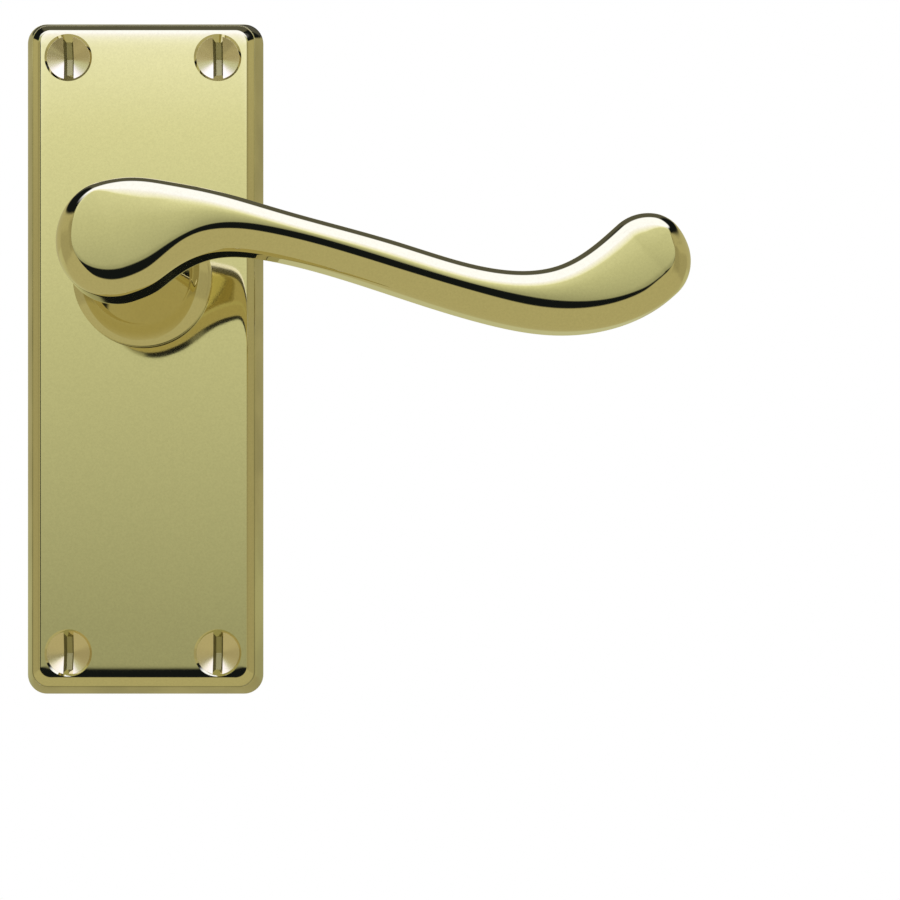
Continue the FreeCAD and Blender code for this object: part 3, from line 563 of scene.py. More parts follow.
def grain(tree, millimetre, stretch=(1, 1, 1), detail=2.0, rough=0.5):
    """Noise whose spots are about so many millimetres wide, read at the object's own place."""
    place = add_node(tree, "ShaderNodeTexCoord")
    spread = add_node(tree, "ShaderNodeMapping", {0: place.outputs["Object"], "Scale": stretch})
    noise = add_node(
        tree,
        "ShaderNodeTexNoise",
        {
            "Vector": spread.outputs[0],
            "Scale": 1 / (millimetre * MM),
            "Detail": detail,
            "Roughness": rough,
        },
    )
    return noise.outputs["Fac"]


def shade(colour, factor):
    """The colour made lighter or darker."""
    return [c * factor for c in colour]


def polished_brass(name, colour, roughness, grain_mm=0.35):
    """Polished and lacquered yellow brass: mirror-like, with the polishing mop's faint haze."""
    material, tree = blank_material(name)
    # polishing haze in patches of about a centimetre makes the mirror a little uneven
    haze = grain(tree, 9, detail=3)
    # a fine grain in the lacquer keeps the big flats from looking like glass
    speck = grain(tree, grain_mm, detail=1.5)
    share = add_node(tree, "ShaderNodeMapRange", {"Value": speck, "From Min": 0.3, "From Max": 0.7})
    tone = add_node(
        tree,
        "ShaderNodeMix",
        {
            SHARE: share.outputs[0],
            FIRST: rgba(shade(colour, 0.965)),
            SECOND: rgba(shade(colour, 1.03)),
        },
        data_type="RGBA",
    )
    # painted shade darkens the seams, in uneven runs
    seam = add_node(tree, "ShaderNodeAttribute", attribute_name="seam")
    line = add_node(
        tree,
        "ShaderNodeMapRange",
        {"Value": seam.outputs["Fac"], "From Min": 0.45, "From Max": 0.9},
    )
    shade_runs = add_node(
        tree,
        "ShaderNodeMapRange",
        {"Value": haze, "From Min": 0.35, "From Max": 0.65, "To Min": 0.6, "To Max": 1.0},
    )
    painted_shade = add_node(
        tree, "ShaderNodeMath", {0: line.outputs[0], 1: shade_runs.outputs[0]}, operation="MULTIPLY"
    )
    tone_and_shade = add_node(
        tree,
        "ShaderNodeMix",
        {SHARE: painted_shade.outputs[0], FIRST: tone.outputs[2], SECOND: rgba(shade(colour, 0.5))},
        data_type="RGBA",
    )
    gloss = add_node(
        tree,
        "ShaderNodeMapRange",
        {
            "Value": haze, "From Min": 0.3, "From Max": 0.7,
            "To Min": roughness * 0.8, "To Max": roughness * 1.3,
        },
    )
    # the wheel leaves a soft waviness a few millimetres long
    wave = grain(tree, 3.5, detail=1)
    bump = add_node(
        tree, "ShaderNodeBump", {"Strength": 0.5, "Distance": 0.000004, "Height": wave}
    )
    fine = add_node(
        tree,
        "ShaderNodeBump",
        {"Strength": 0.35, "Distance": 0.0000008, "Height": speck, "Normal": bump.outputs[0]},
    )
    shader = add_node(
        tree,
        "ShaderNodeBsdfPrincipled",
        {
            "Base Color": tone_and_shade.outputs[2],
            "Metallic": 1.0,
            "Roughness": gloss.outputs[0],
            "Normal": fine.outputs[0],
        },
    )
    add_node(tree, "ShaderNodeOutputMaterial", {"Surface": shader.outputs[0]})
    return material


def turned_brass(name, colour, slot_colour):
    """Brass as the lathe leaves it: paler and hazier than polished, dull inside the slot, with
    painted shade on the slot's walls.
    """
    material, tree = blank_material(name)
    # the slot's floor and walls are dull, as the wheel never reached them, and the walls are darker
    # still: painted shade inside the slot
    mark = add_node(tree, "ShaderNodeAttribute", attribute_name="slot")
    dull_and_shaded = add_node(
        tree,
        "ShaderNodeMix",
        {
            SHARE: mark.outputs["Fac"],
            FIRST: rgba(shade(slot_colour, 0.25)),
            SECOND: rgba(slot_colour),
        },
        data_type="RGBA",
    )
    inside = add_node(
        tree, "ShaderNodeMath", {0: mark.outputs["Fac"], 1: 0.25}, operation="GREATER_THAN"
    )
    # tool marks break the colour up in specks of a fifth of a millimetre
    speck = grain(tree, 0.2, detail=1.5)
    tone = add_node(
        tree,
        "ShaderNodeMix",
        {SHARE: speck, FIRST: rgba(shade(colour, 0.94)), SECOND: rgba(colour)},
        data_type="RGBA",
    )
    both = add_node(
        tree,
        "ShaderNodeMix",
        {SHARE: inside.outputs[0], FIRST: tone.outputs[2], SECOND: dull_and_shaded.outputs[2]},
        data_type="RGBA",
    )
    gloss = add_node(
        tree,
        "ShaderNodeMapRange",
        {"Value": inside.outputs[0], "To Min": 0.2, "To Max": 0.6},
    )
    bump = add_node(
        tree, "ShaderNodeBump", {"Strength": 0.4, "Distance": 0.000002, "Height": speck}
    )
    shader = add_node(
        tree,
        "ShaderNodeBsdfPrincipled",
        {
            "Base Color": both.outputs[2],
            "Metallic": 1.0,
            "Roughness": gloss.outputs[0],
            "Normal": bump.outputs[0],
        },
    )
    add_node(tree, "ShaderNodeOutputMaterial", {"Surface": shader.outputs[0]})
    return material


def pressed_brass(name, colour):
    """Brass as it leaves the press: satin, mottled and a little tarnished."""
    material, tree = blank_material(name)
    stain = grain(tree, 5, detail=5, rough=0.6)
    share = add_node(
        tree, "ShaderNodeMapRange", {"Value": stain, "From Min": 0.35, "From Max": 0.65}
    )
    tone = add_node(
        tree,
        "ShaderNodeMix",
        {SHARE: share.outputs[0], FIRST: rgba(shade(colour, 0.72)), SECOND: rgba(colour)},
        data_type="RGBA",
    )
    gloss = add_node(
        tree,
        "ShaderNodeMapRange",
        {"Value": stain, "From Min": 0.3, "From Max": 0.7, "To Min": 0.32, "To Max": 0.5},
    )
    pits = grain(tree, 0.4, detail=3)
    bump = add_node(tree, "ShaderNodeBump", {"Strength": 0.4, "Distance": 0.00003, "Height": pits})
    shader = add_node(
        tree,
        "ShaderNodeBsdfPrincipled",
        {
            "Base Color": tone.outputs[2],
            "Metallic": 1.0,
            "Roughness": gloss.outputs[0],
            "Normal": bump.outputs[0],
        },
    )
    add_node(tree, "ShaderNodeOutputMaterial", {"Surface": shader.outputs[0]})
    return material


def moulded_nylon(name, colour):
    """Moulded nylon: milky, soft satin, with flow marks that barely show."""
    material, tree = blank_material(name)
    flow = grain(tree, 2.5, detail=3)
    share = add_node(tree, "ShaderNodeMapRange", {"Value": flow, "From Min": 0.3, "From Max": 0.7})
    tone = add_node(
        tree,
        "ShaderNodeMix",
        {SHARE: share.outputs[0], FIRST: rgba(shade(colour, 0.93)), SECOND: rgba(colour)},
        data_type="RGBA",
    )
    gloss = add_node(
        tree, "ShaderNodeMapRange", {"Value": flow, "To Min": 0.38, "To Max": 0.5}
    )
    fine = grain(tree, 0.25, detail=2)
    bump = add_node(tree, "ShaderNodeBump", {"Strength": 0.3, "Distance": 0.00001, "Height": fine})
    shader = add_node(
        tree,
        "ShaderNodeBsdfPrincipled",
        {
            "Base Color": tone.outputs[2],
            "Roughness": gloss.outputs[0],
            "IOR": 1.53,
            "Subsurface Weight": 0.15,
            "Subsurface Scale": 0.001,
            "Normal": bump.outputs[0],
        },
    )
    add_node(tree, "ShaderNodeOutputMaterial", {"Surface": shader.outputs[0]})
    return material


def worked_steel(name, light, dark, low, high, stretch=(1, 1, 1), mark_mm=0.6, bump_mm=0.006):
    """Steel with the marks of how it was made, from the rolling or drawing along one way."""
    material, tree = blank_material(name)
    marks = grain(tree, mark_mm, stretch=stretch, detail=4, rough=0.6)
    cloud = grain(tree, 6, detail=3)
    share = add_node(
        tree, "ShaderNodeMapRange", {"Value": cloud, "From Min": 0.35, "From Max": 0.65}
    )
    tone = add_node(
        tree,
        "ShaderNodeMix",
        {SHARE: share.outputs[0], FIRST: rgba(dark), SECOND: rgba(light)},
        data_type="RGBA",
    )
    gloss = add_node(
        tree,
        "ShaderNodeMapRange",
        {"Value": marks, "From Min": 0.3, "From Max": 0.7, "To Min": low, "To Max": high},
    )
    bump = add_node(
        tree, "ShaderNodeBump", {"Strength": 0.4, "Distance": bump_mm * MM, "Height": marks}
    )
    shader = add_node(
        tree,
        "ShaderNodeBsdfPrincipled",
        {
            "Base Color": tone.outputs[2],
            "Metallic": 1.0,
            "Roughness": gloss.outputs[0],
            "Normal": bump.outputs[0],
        },
    )
    add_node(tree, "ShaderNodeOutputMaterial", {"Surface": shader.outputs[0]})
    return material


def dress(thing, material):
    """The finish in every slot of the object."""
    if not thing.data.materials:
        thing.data.materials.append(material)
    for slot in thing.material_slots:
        slot.material = material


# --- backplate ----------------------------------------------------------------------------


def plate_ring(inset, height, corner):
    """The plate's outline drawn in by a distance, with rounded corners."""
    left, right = PLATE_LOW.x + inset, PLATE_HIGH.x - inset
    foot, top = PLATE_LOW.z + inset, PLATE_HIGH.z - inset
    points = []
    corners = (
        (right - corner, top - corner, 0),
        (left + corner, top - corner, 90),
        (left + corner, foot + corner, 180),
        (right - corner, foot + corner, 270),
    )
    for i, (x, z, start) in enumerate(corners):
        turn = np.radians(np.linspace(start, start + 90, 13))
        arc = np.column_stack((x + corner * np.cos(turn), z + corner * np.sin(turn)))
        after = corners[(i + 1) % 4]
        begin = np.radians(after[2])
        to = np.array((after[0] + corner * math.cos(begin), after[1] + corner * math.sin(begin)))
        line = arc[-1] + (to - arc[-1]) * np.linspace(0, 1, 12)[1:-1, None]
        points += [arc, line]
    flat = np.concatenate(points)
    return np.column_stack((flat[:, 0], np.full(len(flat), height), flat[:, 1]))


def plate_profile(look):
    """The rolled edge from the foot to the flat front, as (inset, height) pairs."""
    foot, flank, round_off = (millimetres(v) for v in (look.foot, look.flank, look.round_off))
    rise, fade = millimetres(look.flank_rise), millimetres(look.crown)
    slope, tilt = look.bevel_slope, look.crown_tilt
    # the front sinks away from the level ever more steeply towards the bevel
    crown_top = PLATE_FRONT - math.tan(tilt) * fade
    round_drop = round_off * (math.cos(tilt) - math.cos(slope))
    bevel_top = crown_top - round_drop
    bevel_end = flank + (bevel_top - rise) / math.tan(slope)
    # a fine groove, where the flank's tool stopped, runs round between flank and bevel
    edge = rounded_line(
        (
            (0.0, 0.0, 0.0),
            (0.0, foot, 0.25),
            (flank - 0.05, rise - 0.02, 0.1),
            (flank + 0.02, rise - 0.09, 0.03),
            (flank + 0.11, rise + 0.1, 0.1),
            (bevel_end, bevel_top, 0.0),
        )
    )
    turn = np.linspace(slope, tilt, 14)[1:]
    swept = np.column_stack(
        (
            bevel_end + round_off * (math.sin(slope) - np.sin(turn)),
            bevel_top + round_off * (np.cos(turn) - math.cos(slope)),
        )
    )
    beyond = np.linspace(0, 4.5, 22)[1:] ** 1.3 / 4.5 ** 0.3
    fall = np.exp(-beyond)
    sunk = math.tan(tilt) * fade * fall
    crown = np.column_stack((swept[-1, 0] + fade * beyond, PLATE_FRONT - sunk))
    return np.vstack((edge, swept, crown, (crown[-1, 0] + 0.6, PLATE_FRONT)))


def screw_places(look):
    """Centres of the four wood screws, in millimetres along and up."""
    side, end = millimetres(look.screw_side), millimetres(look.screw_end)
    across = PLATE_LOW.x + side, PLATE_HIGH.x - side
    up = PLATE_LOW.z + end, PLATE_HIGH.z - end
    return [(x, z) for x in across for z in up]


def cover_screw_places():
    """Centres of the two screws that hold the spring cover, from the CAD pair's own box."""
    low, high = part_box("cover_screws")
    reach = (high.x - low.x) * 500 - (high.z - low.z) * 500
    return [(-reach, 0.0), (reach, 0.0)]


def build_plate(look, finish):
    """The backplate: its rolled shell, the bosses behind, its holes and its two finishes."""
    corner = millimetres(look.corner)
    ease = 0.12
    rings = [plate_ring(RIM_WALL, height, corner / 2) for height in (WALL_BACK, 0.1)]
    rings.append(plate_ring(RIM_WALL - 0.1, 0.0, corner / 2))
    rings.append(plate_ring(ease, 0.0, corner))
    for inset, height in plate_profile(look):
        height = max(height, ease) if inset < 0.01 else height
        rings.append(plate_ring(inset, height, corner - 0.45 * inset))
    mesh = new_mesh("backplate_visual", *skin_rings(rings))
    tidy_shell(mesh)
    plate = new_object("backplate_visual", mesh)

    spots, ears = screw_places(look), cover_screw_places()
    into_wall = WALL_BACK + 0.4
    screw_boss = [(0, SCREW_BOSS), (into_wall, SCREW_BOSS)]
    cover_boss = [(EAR_FRONT, COVER_BOSS), (into_wall, COVER_BOSS)]
    bosses = [skin_rings(turned(screw_boss, 64, spot)) for spot in spots]
    bosses += [skin_rings(turned(cover_boss, 48, spot)) for spot in ears]
    cut_or_join(plate, "UNION", *gather(bosses))

    # every cut starts and ends clear of the face that it goes through
    sink = millimetres(look.sink) / 2
    neck = PLATE_FRONT - sink + SHANK_HOLE
    countersunk = [(-1, SHANK_HOLE), (neck, SHANK_HOLE), (PLATE_FRONT + 1, sink + 1)]
    seat_floor = PLATE_FRONT - FLANGE_DEEP
    seat = [
        (-1, BUSH_BORE), (seat_floor, BUSH_BORE), (seat_floor, FLANGE_SEAT),
        (PLATE_FRONT + 1, FLANGE_SEAT),
    ]
    head_room = [(-1, COVER_BOSS), (EAR_BACK, COVER_BOSS)]
    tapped = [(EAR_FRONT - 0.4, TAPPED_HOLE), (EAR_FRONT + TAPPED_DEEP, TAPPED_HOLE)]
    holes = [skin_rings(turned(countersunk, 96, spot)) for spot in spots]
    holes.append(skin_rings(turned(seat, 128)))
    holes += [skin_rings(turned(head_room, 48, spot)) for spot in ears]
    holes += [skin_rings(turned(tapped, 32, spot)) for spot in ears]
    cut_or_join(plate, "DIFFERENCE", *gather(holes))
    tidy_shell(plate.data, merge=2e-7, sharp=25)

    plate.data.materials.clear()
    plate.data.materials.append(
        polished_brass("polished_brass_plate", finish.brass, finish.gloss * 1.2)
    )
    plate.data.materials.append(pressed_brass("pressed_brass_inside", finish.raw_brass))
    # the wheel polishes the front and the edge; all that faces the door stays as pressed
    for wall in plate.data.polygons:
        x, y, z = wall.center * 1000
        inset = min(x - PLATE_LOW.x, PLATE_HIGH.x - x, z - PLATE_LOW.z, PLATE_HIGH.z - z)
        hollow = -y < WALL_BACK + 0.05 and inset > RIM_WALL - 0.3
        rim_foot = -y < 0.2 and inset > 0.2
        bore = any(math.hypot(x - s[0], z - s[1]) < SHANK_HOLE + 0.05 for s in spots)
        seat_wall = math.hypot(x, z) < 11.0
        wall.material_index = 1 if hollow or rim_foot or bore or seat_wall else 0

    # painted shade along the seams: the groove between flank and bevel, and the outer edge
    depth = np.array([-point.co.y * 1000 for point in plate.data.vertices])
    groove = 1 - np.abs(depth - millimetres(look.flank_rise)) / 0.25
    outer = 1 - np.abs(depth - millimetres(look.foot)) / 0.2
    seam = plate.data.attributes.new("seam", "FLOAT", "POINT")
    seam.data.foreach_set("value", np.clip(np.maximum(groove, outer), 0, 1).astype(np.float32))
    return plate


# --- lever --------------------------------------------------------------------------------


def front_arcs(reach, bow_end, shoulder, steep, rim, edge):
    """The front from its crest to the side: how far along (0 to 1) and how deep.

    The bow comes first, and its radius fills what is left over; then a softer shoulder up
    to the angle steep, a crisp corner up to the angle rim, and the edge's own rounding.
    """
    corner = 0.3
    rest = corner * (math.sin(rim) - math.sin(steep)) + edge * (1 - math.sin(rim))
    rest += shoulder * (math.sin(steep) - math.sin(bow_end))
    bow = max((reach - rest) / math.sin(bow_end), 1.0)
    out, deep, before = [0.0], [0.0], 0.0
    for radius, start, end, count in (
        (bow, 0.0, bow_end, 16),
        (shoulder, bow_end, steep, 12),
        (corner, steep, rim, 5),
        (edge, rim, math.pi / 2, 18),
    ):
        for tilt in np.linspace(start, end, count)[1:]:
            out.append(out[-1] + radius * (math.sin(tilt) - math.sin(before)))
            deep.append(deep[-1] + radius * (math.cos(tilt) - math.cos(before)))
            before = tilt
    return np.array(out) / out[-1], np.array(deep)


def lever_rows(look):
    """Rows of the lever's skin, in order round its outline, each from front to back."""
    stations = np.array(LEVER_STATIONS)
    # the four radii
    stations[:, 5:9] *= look.edges
    steps = np.hypot(np.diff(stations[:, 0]), np.diff(stations[:, 1]))
    places = np.concatenate(([0], np.cumsum(steps)))
    slopes = np.zeros((stations.shape[1], 2))
    slopes[0] = math.cos(HEAD_ANGLE), math.cos(SCROLL_ANGLE)
    slopes[1] = math.sin(HEAD_ANGLE), math.sin(SCROLL_ANGLE)
    curves = [smooth_through(places, v, *ends) for v, ends in zip(stations.T, slopes)]
    along, above, half, back, front, *radii, bow_end, crest = curves
    back_edge, rim_round = millimetres(look.back_edge), millimetres(look.rim_round)
    rows = []

    def add(t, swing, turn, crisp, firm, wide):
        """A half section at a place, swung from the upper (0) to the lower side (180 degrees).

        Where it is crisp a corner leads into a rim, where it is firm the shoulder fades, and
        where it is wide the rim takes its full radius.
        """
        side_share = (1 - math.cos(swing)) / 2
        upper, upper_soft, lower, lower_soft = (radius(t) for radius in radii)
        edge = upper + (lower - upper) * side_share
        shoulder = upper_soft + (lower_soft - upper_soft) * side_share
        edge += (rim_round - edge) * wide
        shoulder += (FIRM_SHOULDER - shoulder) * firm
        steep = look.shoulder + (FIRM_TILT - look.shoulder) * firm
        rim = look.shoulder + (look.rim - look.shoulder) * crisp
        a, b = max(t - 1e-3, 0), min(t + 1e-3, places[-1])
        way = math.atan2(above(b) - above(a), along(b) - along(a))
        middle = np.array((along(t), above(t)))
        out = np.array((math.cos(way + turn), math.sin(way + turn)))
        top = middle + crest(t) * np.array((-math.sin(way), math.cos(way)))
        side = middle + half(t) * out
        reach = np.linalg.norm(side - top)
        go, deep = front_arcs(reach, math.radians(bow_end(t)), shoulder, steep, rim, edge)
        flat = [top + (side - top) * go[:, None]]
        high = [front(t) + deep]
        wall = np.linspace(high[0][-1], back(t) + back_edge, 8)[1:]
        flat.append(np.tile(side, (len(wall), 1)))
        high.append(wall)
        bends = np.linspace(0, math.pi / 2, 10)[1:]
        inset = np.append(back_edge * (1 - np.cos(bends)), np.linspace(back_edge, half(t), 6)[1:])
        flat.append(side - out * inset[:, None])
        high.append(back(t) + back_edge * (1 - np.append(np.sin(bends), np.ones(5))))
        flat, high = np.concatenate(flat), np.concatenate(high)
        # the front leans: the share of the height decides how far a point follows
        depth = (high - back(t)) / (front(t) - back(t))
        high = high + math.tan(look.lean) * (flat[:, 1] - middle[1] - half(t)) * depth
        rows.append(np.column_stack((flat[:, 0], high, flat[:, 1])))

    def rim_shares(eases, swing):
        """How crisp, firm and wide the rim is at a place round an end."""
        swing = np.array([math.degrees(swing)])
        return [
            float((step(swing, start, whole) * (1 - step(swing, ease, gone)))[0, 0])
            for start, whole, ease, gone in eases
        ]

    # along the top, round the scroll end, back below and round the head; along the sides
    # the swing runs on as if the end's own circle went on rolling
    length = places[-1]
    stops = np.linspace(0, length, 181)
    fan = np.linspace(0, math.pi, 61)[1:-1]
    for t in stops:
        add(t, 0.0, math.pi / 2, *rim_shares(HEAD_RIM, -t / half(0)))
    for a in fan:
        add(length, a, math.pi / 2 - a, *rim_shares(SCROLL_RIM, a))
    for t in stops[::-1]:
        past = (length - t) / half(length)
        add(t, math.pi, -math.pi / 2, *rim_shares(SCROLL_RIM, math.pi + past))
    for a in fan:
        add(0.0, math.pi - a, -math.pi / 2 - a, *rim_shares(HEAD_RIM, math.pi - a))
    return rows


def neck_rings(count=128):
    """Rings from the inside of the square socket over the tail and foot up into the head."""
    around = np.linspace(0, 2 * math.pi, count, endpoint=False)
    x, z = np.cos(around), np.sin(around)
    square = SOCKET_SIDE / np.maximum(np.abs(x), np.abs(z))
    tail_end = TAIL_OUTLINE[0][0]
    rings = [
        np.column_stack((x * square, np.full(count, height), z * square))
        for height in (SOCKET_END, tail_end + 0.15, tail_end)
    ]
    middle = np.array(BELL_MIDDLE)
    start, end = (
        math.atan2(*(np.array(spot) - middle)[::-1]) for spot in (TAIL_OUTLINE[-1][:2], BELL_TOP)
    )
    swing = np.linspace(start, end, 26)[1:-1]
    bell = middle + BELL_ROUND * np.column_stack((np.cos(swing), np.sin(swing)))
    outline = np.vstack((rounded_line(TAIL_OUTLINE, 6), bell, rounded_line(NECK_OUTLINE, 12)))
    for height, radius in outline:
        flat = height <= FLATS_TOP
        across = np.clip(x * radius, -TAIL_FLAT, TAIL_FLAT) if flat else x * radius
        rings.append(np.column_stack((across, np.full(count, height), z * radius)))
        if abs(height - FLATS_TOP) < 1e-6:
            rings.append(np.column_stack((x * radius, np.full(count, height), z * radius)))
    return rings


def build_lever(look, finish):
    """The lever: the skin over its rows, and the neck and tail that run up into the head."""
    rows = lever_rows(look)
    count = len(rows[0])
    points = np.concatenate(rows)
    faces = []
    for i in range(len(rows)):
        a, b = i * count, (i + 1) % len(rows) * count
        faces += [(a + j, a + j + 1, b + j + 1, b + j) for j in range(count - 1)]
    rings = neck_rings()
    neck = skin_rings(rings, end=(0.0, rings[-1][0][1], 0.0))
    mesh = new_mesh("lever_visual", *gather([(points, faces), neck]))
    tidy_shell(mesh, merge=1e-6, sharp=28)
    lever = new_object("lever_visual", mesh)
    lever.data.materials.append(polished_brass("polished_brass_lever", finish.brass, finish.gloss))
    return lever


# --- screws -------------------------------------------------------------------------------


def scatter_tree():
    """Puts one finished piece on every point of the mesh, each turned a little by chance."""
    tree = bpy.data.node_groups.new("Pieces On Points", "GeometryNodeTree")
    face = tree.interface
    face.new_socket("Geometry", in_out="INPUT", socket_type="NodeSocketGeometry")
    face.new_socket("Piece", in_out="INPUT", socket_type="NodeSocketObject")
    face.new_socket("Stray", in_out="INPUT", socket_type="NodeSocketFloat")
    face.new_socket("Seed", in_out="INPUT", socket_type="NodeSocketInt")
    face.new_socket("Finish", in_out="INPUT", socket_type="NodeSocketMaterial")
    face.new_socket("Geometry", in_out="OUTPUT", socket_type="NodeSocketGeometry")
    given = add_node(tree, "NodeGroupInput").outputs
    piece = add_node(tree, "GeometryNodeObjectInfo", {"Object": given["Piece"]})
    back = add_node(
        tree, "ShaderNodeMath", {0: given["Stray"], 1: -1.0}, operation="MULTIPLY"
    )
    chance = add_node(
        tree,
        "FunctionNodeRandomValue",
        {2: back.outputs[0], 3: given["Stray"], "Seed": given["Seed"]},
        data_type="FLOAT",
    )
    turn = add_node(tree, "ShaderNodeCombineXYZ", {"Y": chance.outputs[1]})
    spread = add_node(
        tree,
        "GeometryNodeInstanceOnPoints",
        {
            "Points": given["Geometry"],
            "Instance": piece.outputs["Geometry"],
            "Rotation": turn.outputs[0],
        },
    )
    real = add_node(tree, "GeometryNodeRealizeInstances", {0: spread.outputs[0]})
    dressed = add_node(
        tree, "GeometryNodeSetMaterial", {"Geometry": real.outputs[0], "Material": given["Finish"]}
    )
    add_node(tree, "NodeGroupOutput", {0: dressed.outputs[0]})
    return tree


def wire_tree():
    """Sweeps a round wire, or a sharp ridge, along the edges of a mesh."""
    tree = bpy.data.node_groups.new("Wire Along Path", "GeometryNodeTree")
    face = tree.interface
    face.new_socket("Geometry", in_out="INPUT", socket_type="NodeSocketGeometry")
    face.new_socket("Radius", in_out="INPUT", socket_type="NodeSocketFloat")
    face.new_socket("Sides", in_out="INPUT", socket_type="NodeSocketInt")
    face.new_socket("Finish", in_out="INPUT", socket_type="NodeSocketMaterial")
    face.new_socket("Geometry", in_out="OUTPUT", socket_type="NodeSocketGeometry")
    given = add_node(tree, "NodeGroupInput").outputs
    path = add_node(tree, "GeometryNodeMeshToCurve", {"Mesh": given["Geometry"]})
    section = add_node(
        tree,
        "GeometryNodeCurvePrimitiveCircle",
        {"Resolution": given["Sides"], "Radius": given["Radius"]},
        mode="RADIUS",
    )
    swept = add_node(
        tree,
        "GeometryNodeCurveToMesh",
        {"Curve": path.outputs[0], "Profile Curve": section.outputs[0], "Fill Caps": True},
    )
    real = add_node(tree, "GeometryNodeRealizeInstances", {0: swept.outputs[0]})
    dressed = add_node(
        tree, "GeometryNodeSetMaterial", {"Geometry": real.outputs[0], "Material": given["Finish"]}
    )
    add_node(tree, "NodeGroupOutput", {0: dressed.outputs[0]})
    return tree


def run_tree(thing, tree, values):
    """Runs a node tree on the object with its inputs set by name, and keeps the result."""
    modifier = thing.modifiers.new(tree.name, "NODES")
    modifier.node_group = tree
    ids = {
        item.name: item.identifier
        for item in tree.interface.items_tree
        if item.item_type == "SOCKET" and item.in_out == "INPUT"
    }
    for name, value in values.items():
        modifier[ids[name]] = value
    return settled(thing)


def path_object(name, points):
    """An object that is only a line through the points."""
    edges = [(i, i + 1) for i in range(len(points) - 1)]
    return new_object(name, new_mesh(name, points, [], edges))


def spring_path(look):
    """Middle of the spring's wire: up the right leg, round the bush, down the left leg."""
    wire, coil, legs, bend = (
        millimetres(v) for v in (look.wire, look.coil, look.legs, look.bend)
    )
    low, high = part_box("return_spring")
    foot = low.z * 1000
    back, front = -high.y * 1000 + wire / 2, -low.y * 1000 - wire / 2
    across = legs + bend
    down = math.sqrt((coil + bend) ** 2 - across**2)
    swing = math.atan2(across, down)
    turn = np.linspace(math.pi, math.pi / 2 + swing, 14)
    right = np.vstack(
        (
            [(legs, z) for z in np.linspace(foot, -down, 8)[:-1]],
            np.column_stack((across + bend * np.cos(turn), -down + bend * np.sin(turn))),
        )
    )
    round_coil = np.linspace(swing, 2 * math.pi - swing, 180)[1:-1]
    ring = np.column_stack((coil * np.sin(round_coil), -coil * np.cos(round_coil)))
    left = right[::-1] * (-1, 1)
    flat = np.vstack((right, ring, left))
    rise = np.linspace(back, front, len(ring) + 2)[1:-1]
    heights = np.concatenate((np.full(len(right), back), rise, np.full(len(left), front)))
    return np.column_stack((flat[:, 0], heights, flat[:, 1]))


def screw_tip():
    """Height of the wood screws' tips, from the box of the CAD's own."""
    return -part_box("wood_screws")[1].y * 1000


def wood_screw(look):
    """One dished, countersunk, slotted wood screw on the spindle axis, its slot upright."""
    head, rim = millimetres(look.head) / 2, PLATE_FRONT - millimetres(look.sunk)
    bottom = head * math.tan(look.dish)
    low = screw_tip()
    outline = rounded_line(
        (
            (low, 0.0, 0.0),
            (low, 0.15, 0.0),
            (low + TIP_TAPER, SCREW_CORE, 0.6),
            (-0.6, SCREW_CORE, 0.2),
            (-0.2, SCREW_SHANK, 0.2),
            (rim - head + SCREW_SHANK, SCREW_SHANK, 0.3),
            (rim - 0.08, head - 0.04, 0.05),
            (rim, head, 0.06),
            (rim - bottom, 0.0, 0.0),
        ),
        3,
    )[1:-1]
    shell = skin_rings(turned(outline, 96), start=(0, low, 0), end=(0, rim - bottom, 0))
    mesh = new_mesh("wood_screw", *shell)
    tidy_shell(mesh)
    screw = new_object("wood_screw", mesh)
    half = millimetres(look.slot) / 2

    def floor(z):
        """Height of the slot's floor, which falls towards the middle like the dish."""
        return rim - millimetres(look.slot_deep) - math.tan(look.slot_fall) * (head - abs(z))

    # the slot's section: the cutter left slopes along the foot of both walls
    slices = []
    for z in (-6.0, 0.0, 6.0):
        section = (
            (-half, PLATE_FRONT + 2), (-half, floor(z) + 0.5), (-half + 0.5, floor(z)),
            (half - 0.25, floor(z)), (half, floor(z) + 0.25), (half, PLATE_FRONT + 2),
        )
        slices.append(np.array([(x, h, z) for x, h in section]))
    cut_or_join(screw, "DIFFERENCE", *skin_rings(slices))
    tidy_shell(screw.data, merge=2e-7, sharp=22)
    # the slot's floor is marked 1 and its walls 0.5: both are dull, since no polishing wheel
    # reaches them, and the walls get painted shade
    marks = []
    for wall in screw.data.polygons:
        x, y, z = wall.center * 1000
        within = abs(x) < half + 0.01 and floor(z) - 0.01 < -y < rim
        flat = within and abs(wall.normal.x) < 0.05
        upright = within and (abs(wall.normal.x) > 0.98 or abs(x) < half - 0.02)
        marks.append(1.0 if flat else 0.5 if upright else 0.0)
    screw.data.attributes.new("slot", "FLOAT", "FACE").data.foreach_set("value", marks)
    return screw


def thread_path(look):
    """The thread's ridge: a helix that follows the taper in towards the tip."""
    low = screw_tip()
    length = THREAD_END - low
    turns = length / millimetres(look.pitch)
    t = np.linspace(0, 1, int(turns * 28))
    height = low + 0.35 + t * length
    taper = TIP_POINT + (height - low) / TIP_TAPER * (SCREW_CORE - TIP_POINT)
    radius = np.minimum(SCREW_CORE, taper) + 0.12
    swing = 2 * math.pi * turns * t
    return np.column_stack((radius * np.cos(swing), height, radius * np.sin(swing)))


# --- the studio ---------------------------------------------------------------------------


# What the brass mirrors, as light: nothing overhead, a dim ceiling, the pale floor behind, a
# brown strip half to the side and a lighter one at each side, and the grey walls.
DARK = (0.008, 0.010, 0.012)
DIM = (0.11, 0.11, 0.09)
FLOOR_BEHIND = (0.54, 0.531, 0.293)
BROWN_STRIP = (0.36, 0.333, 0.179)
SIDE_STRIP = (0.41, 0.38, 0.205)
GREY_WALL = (0.56, 0.625, 0.402)
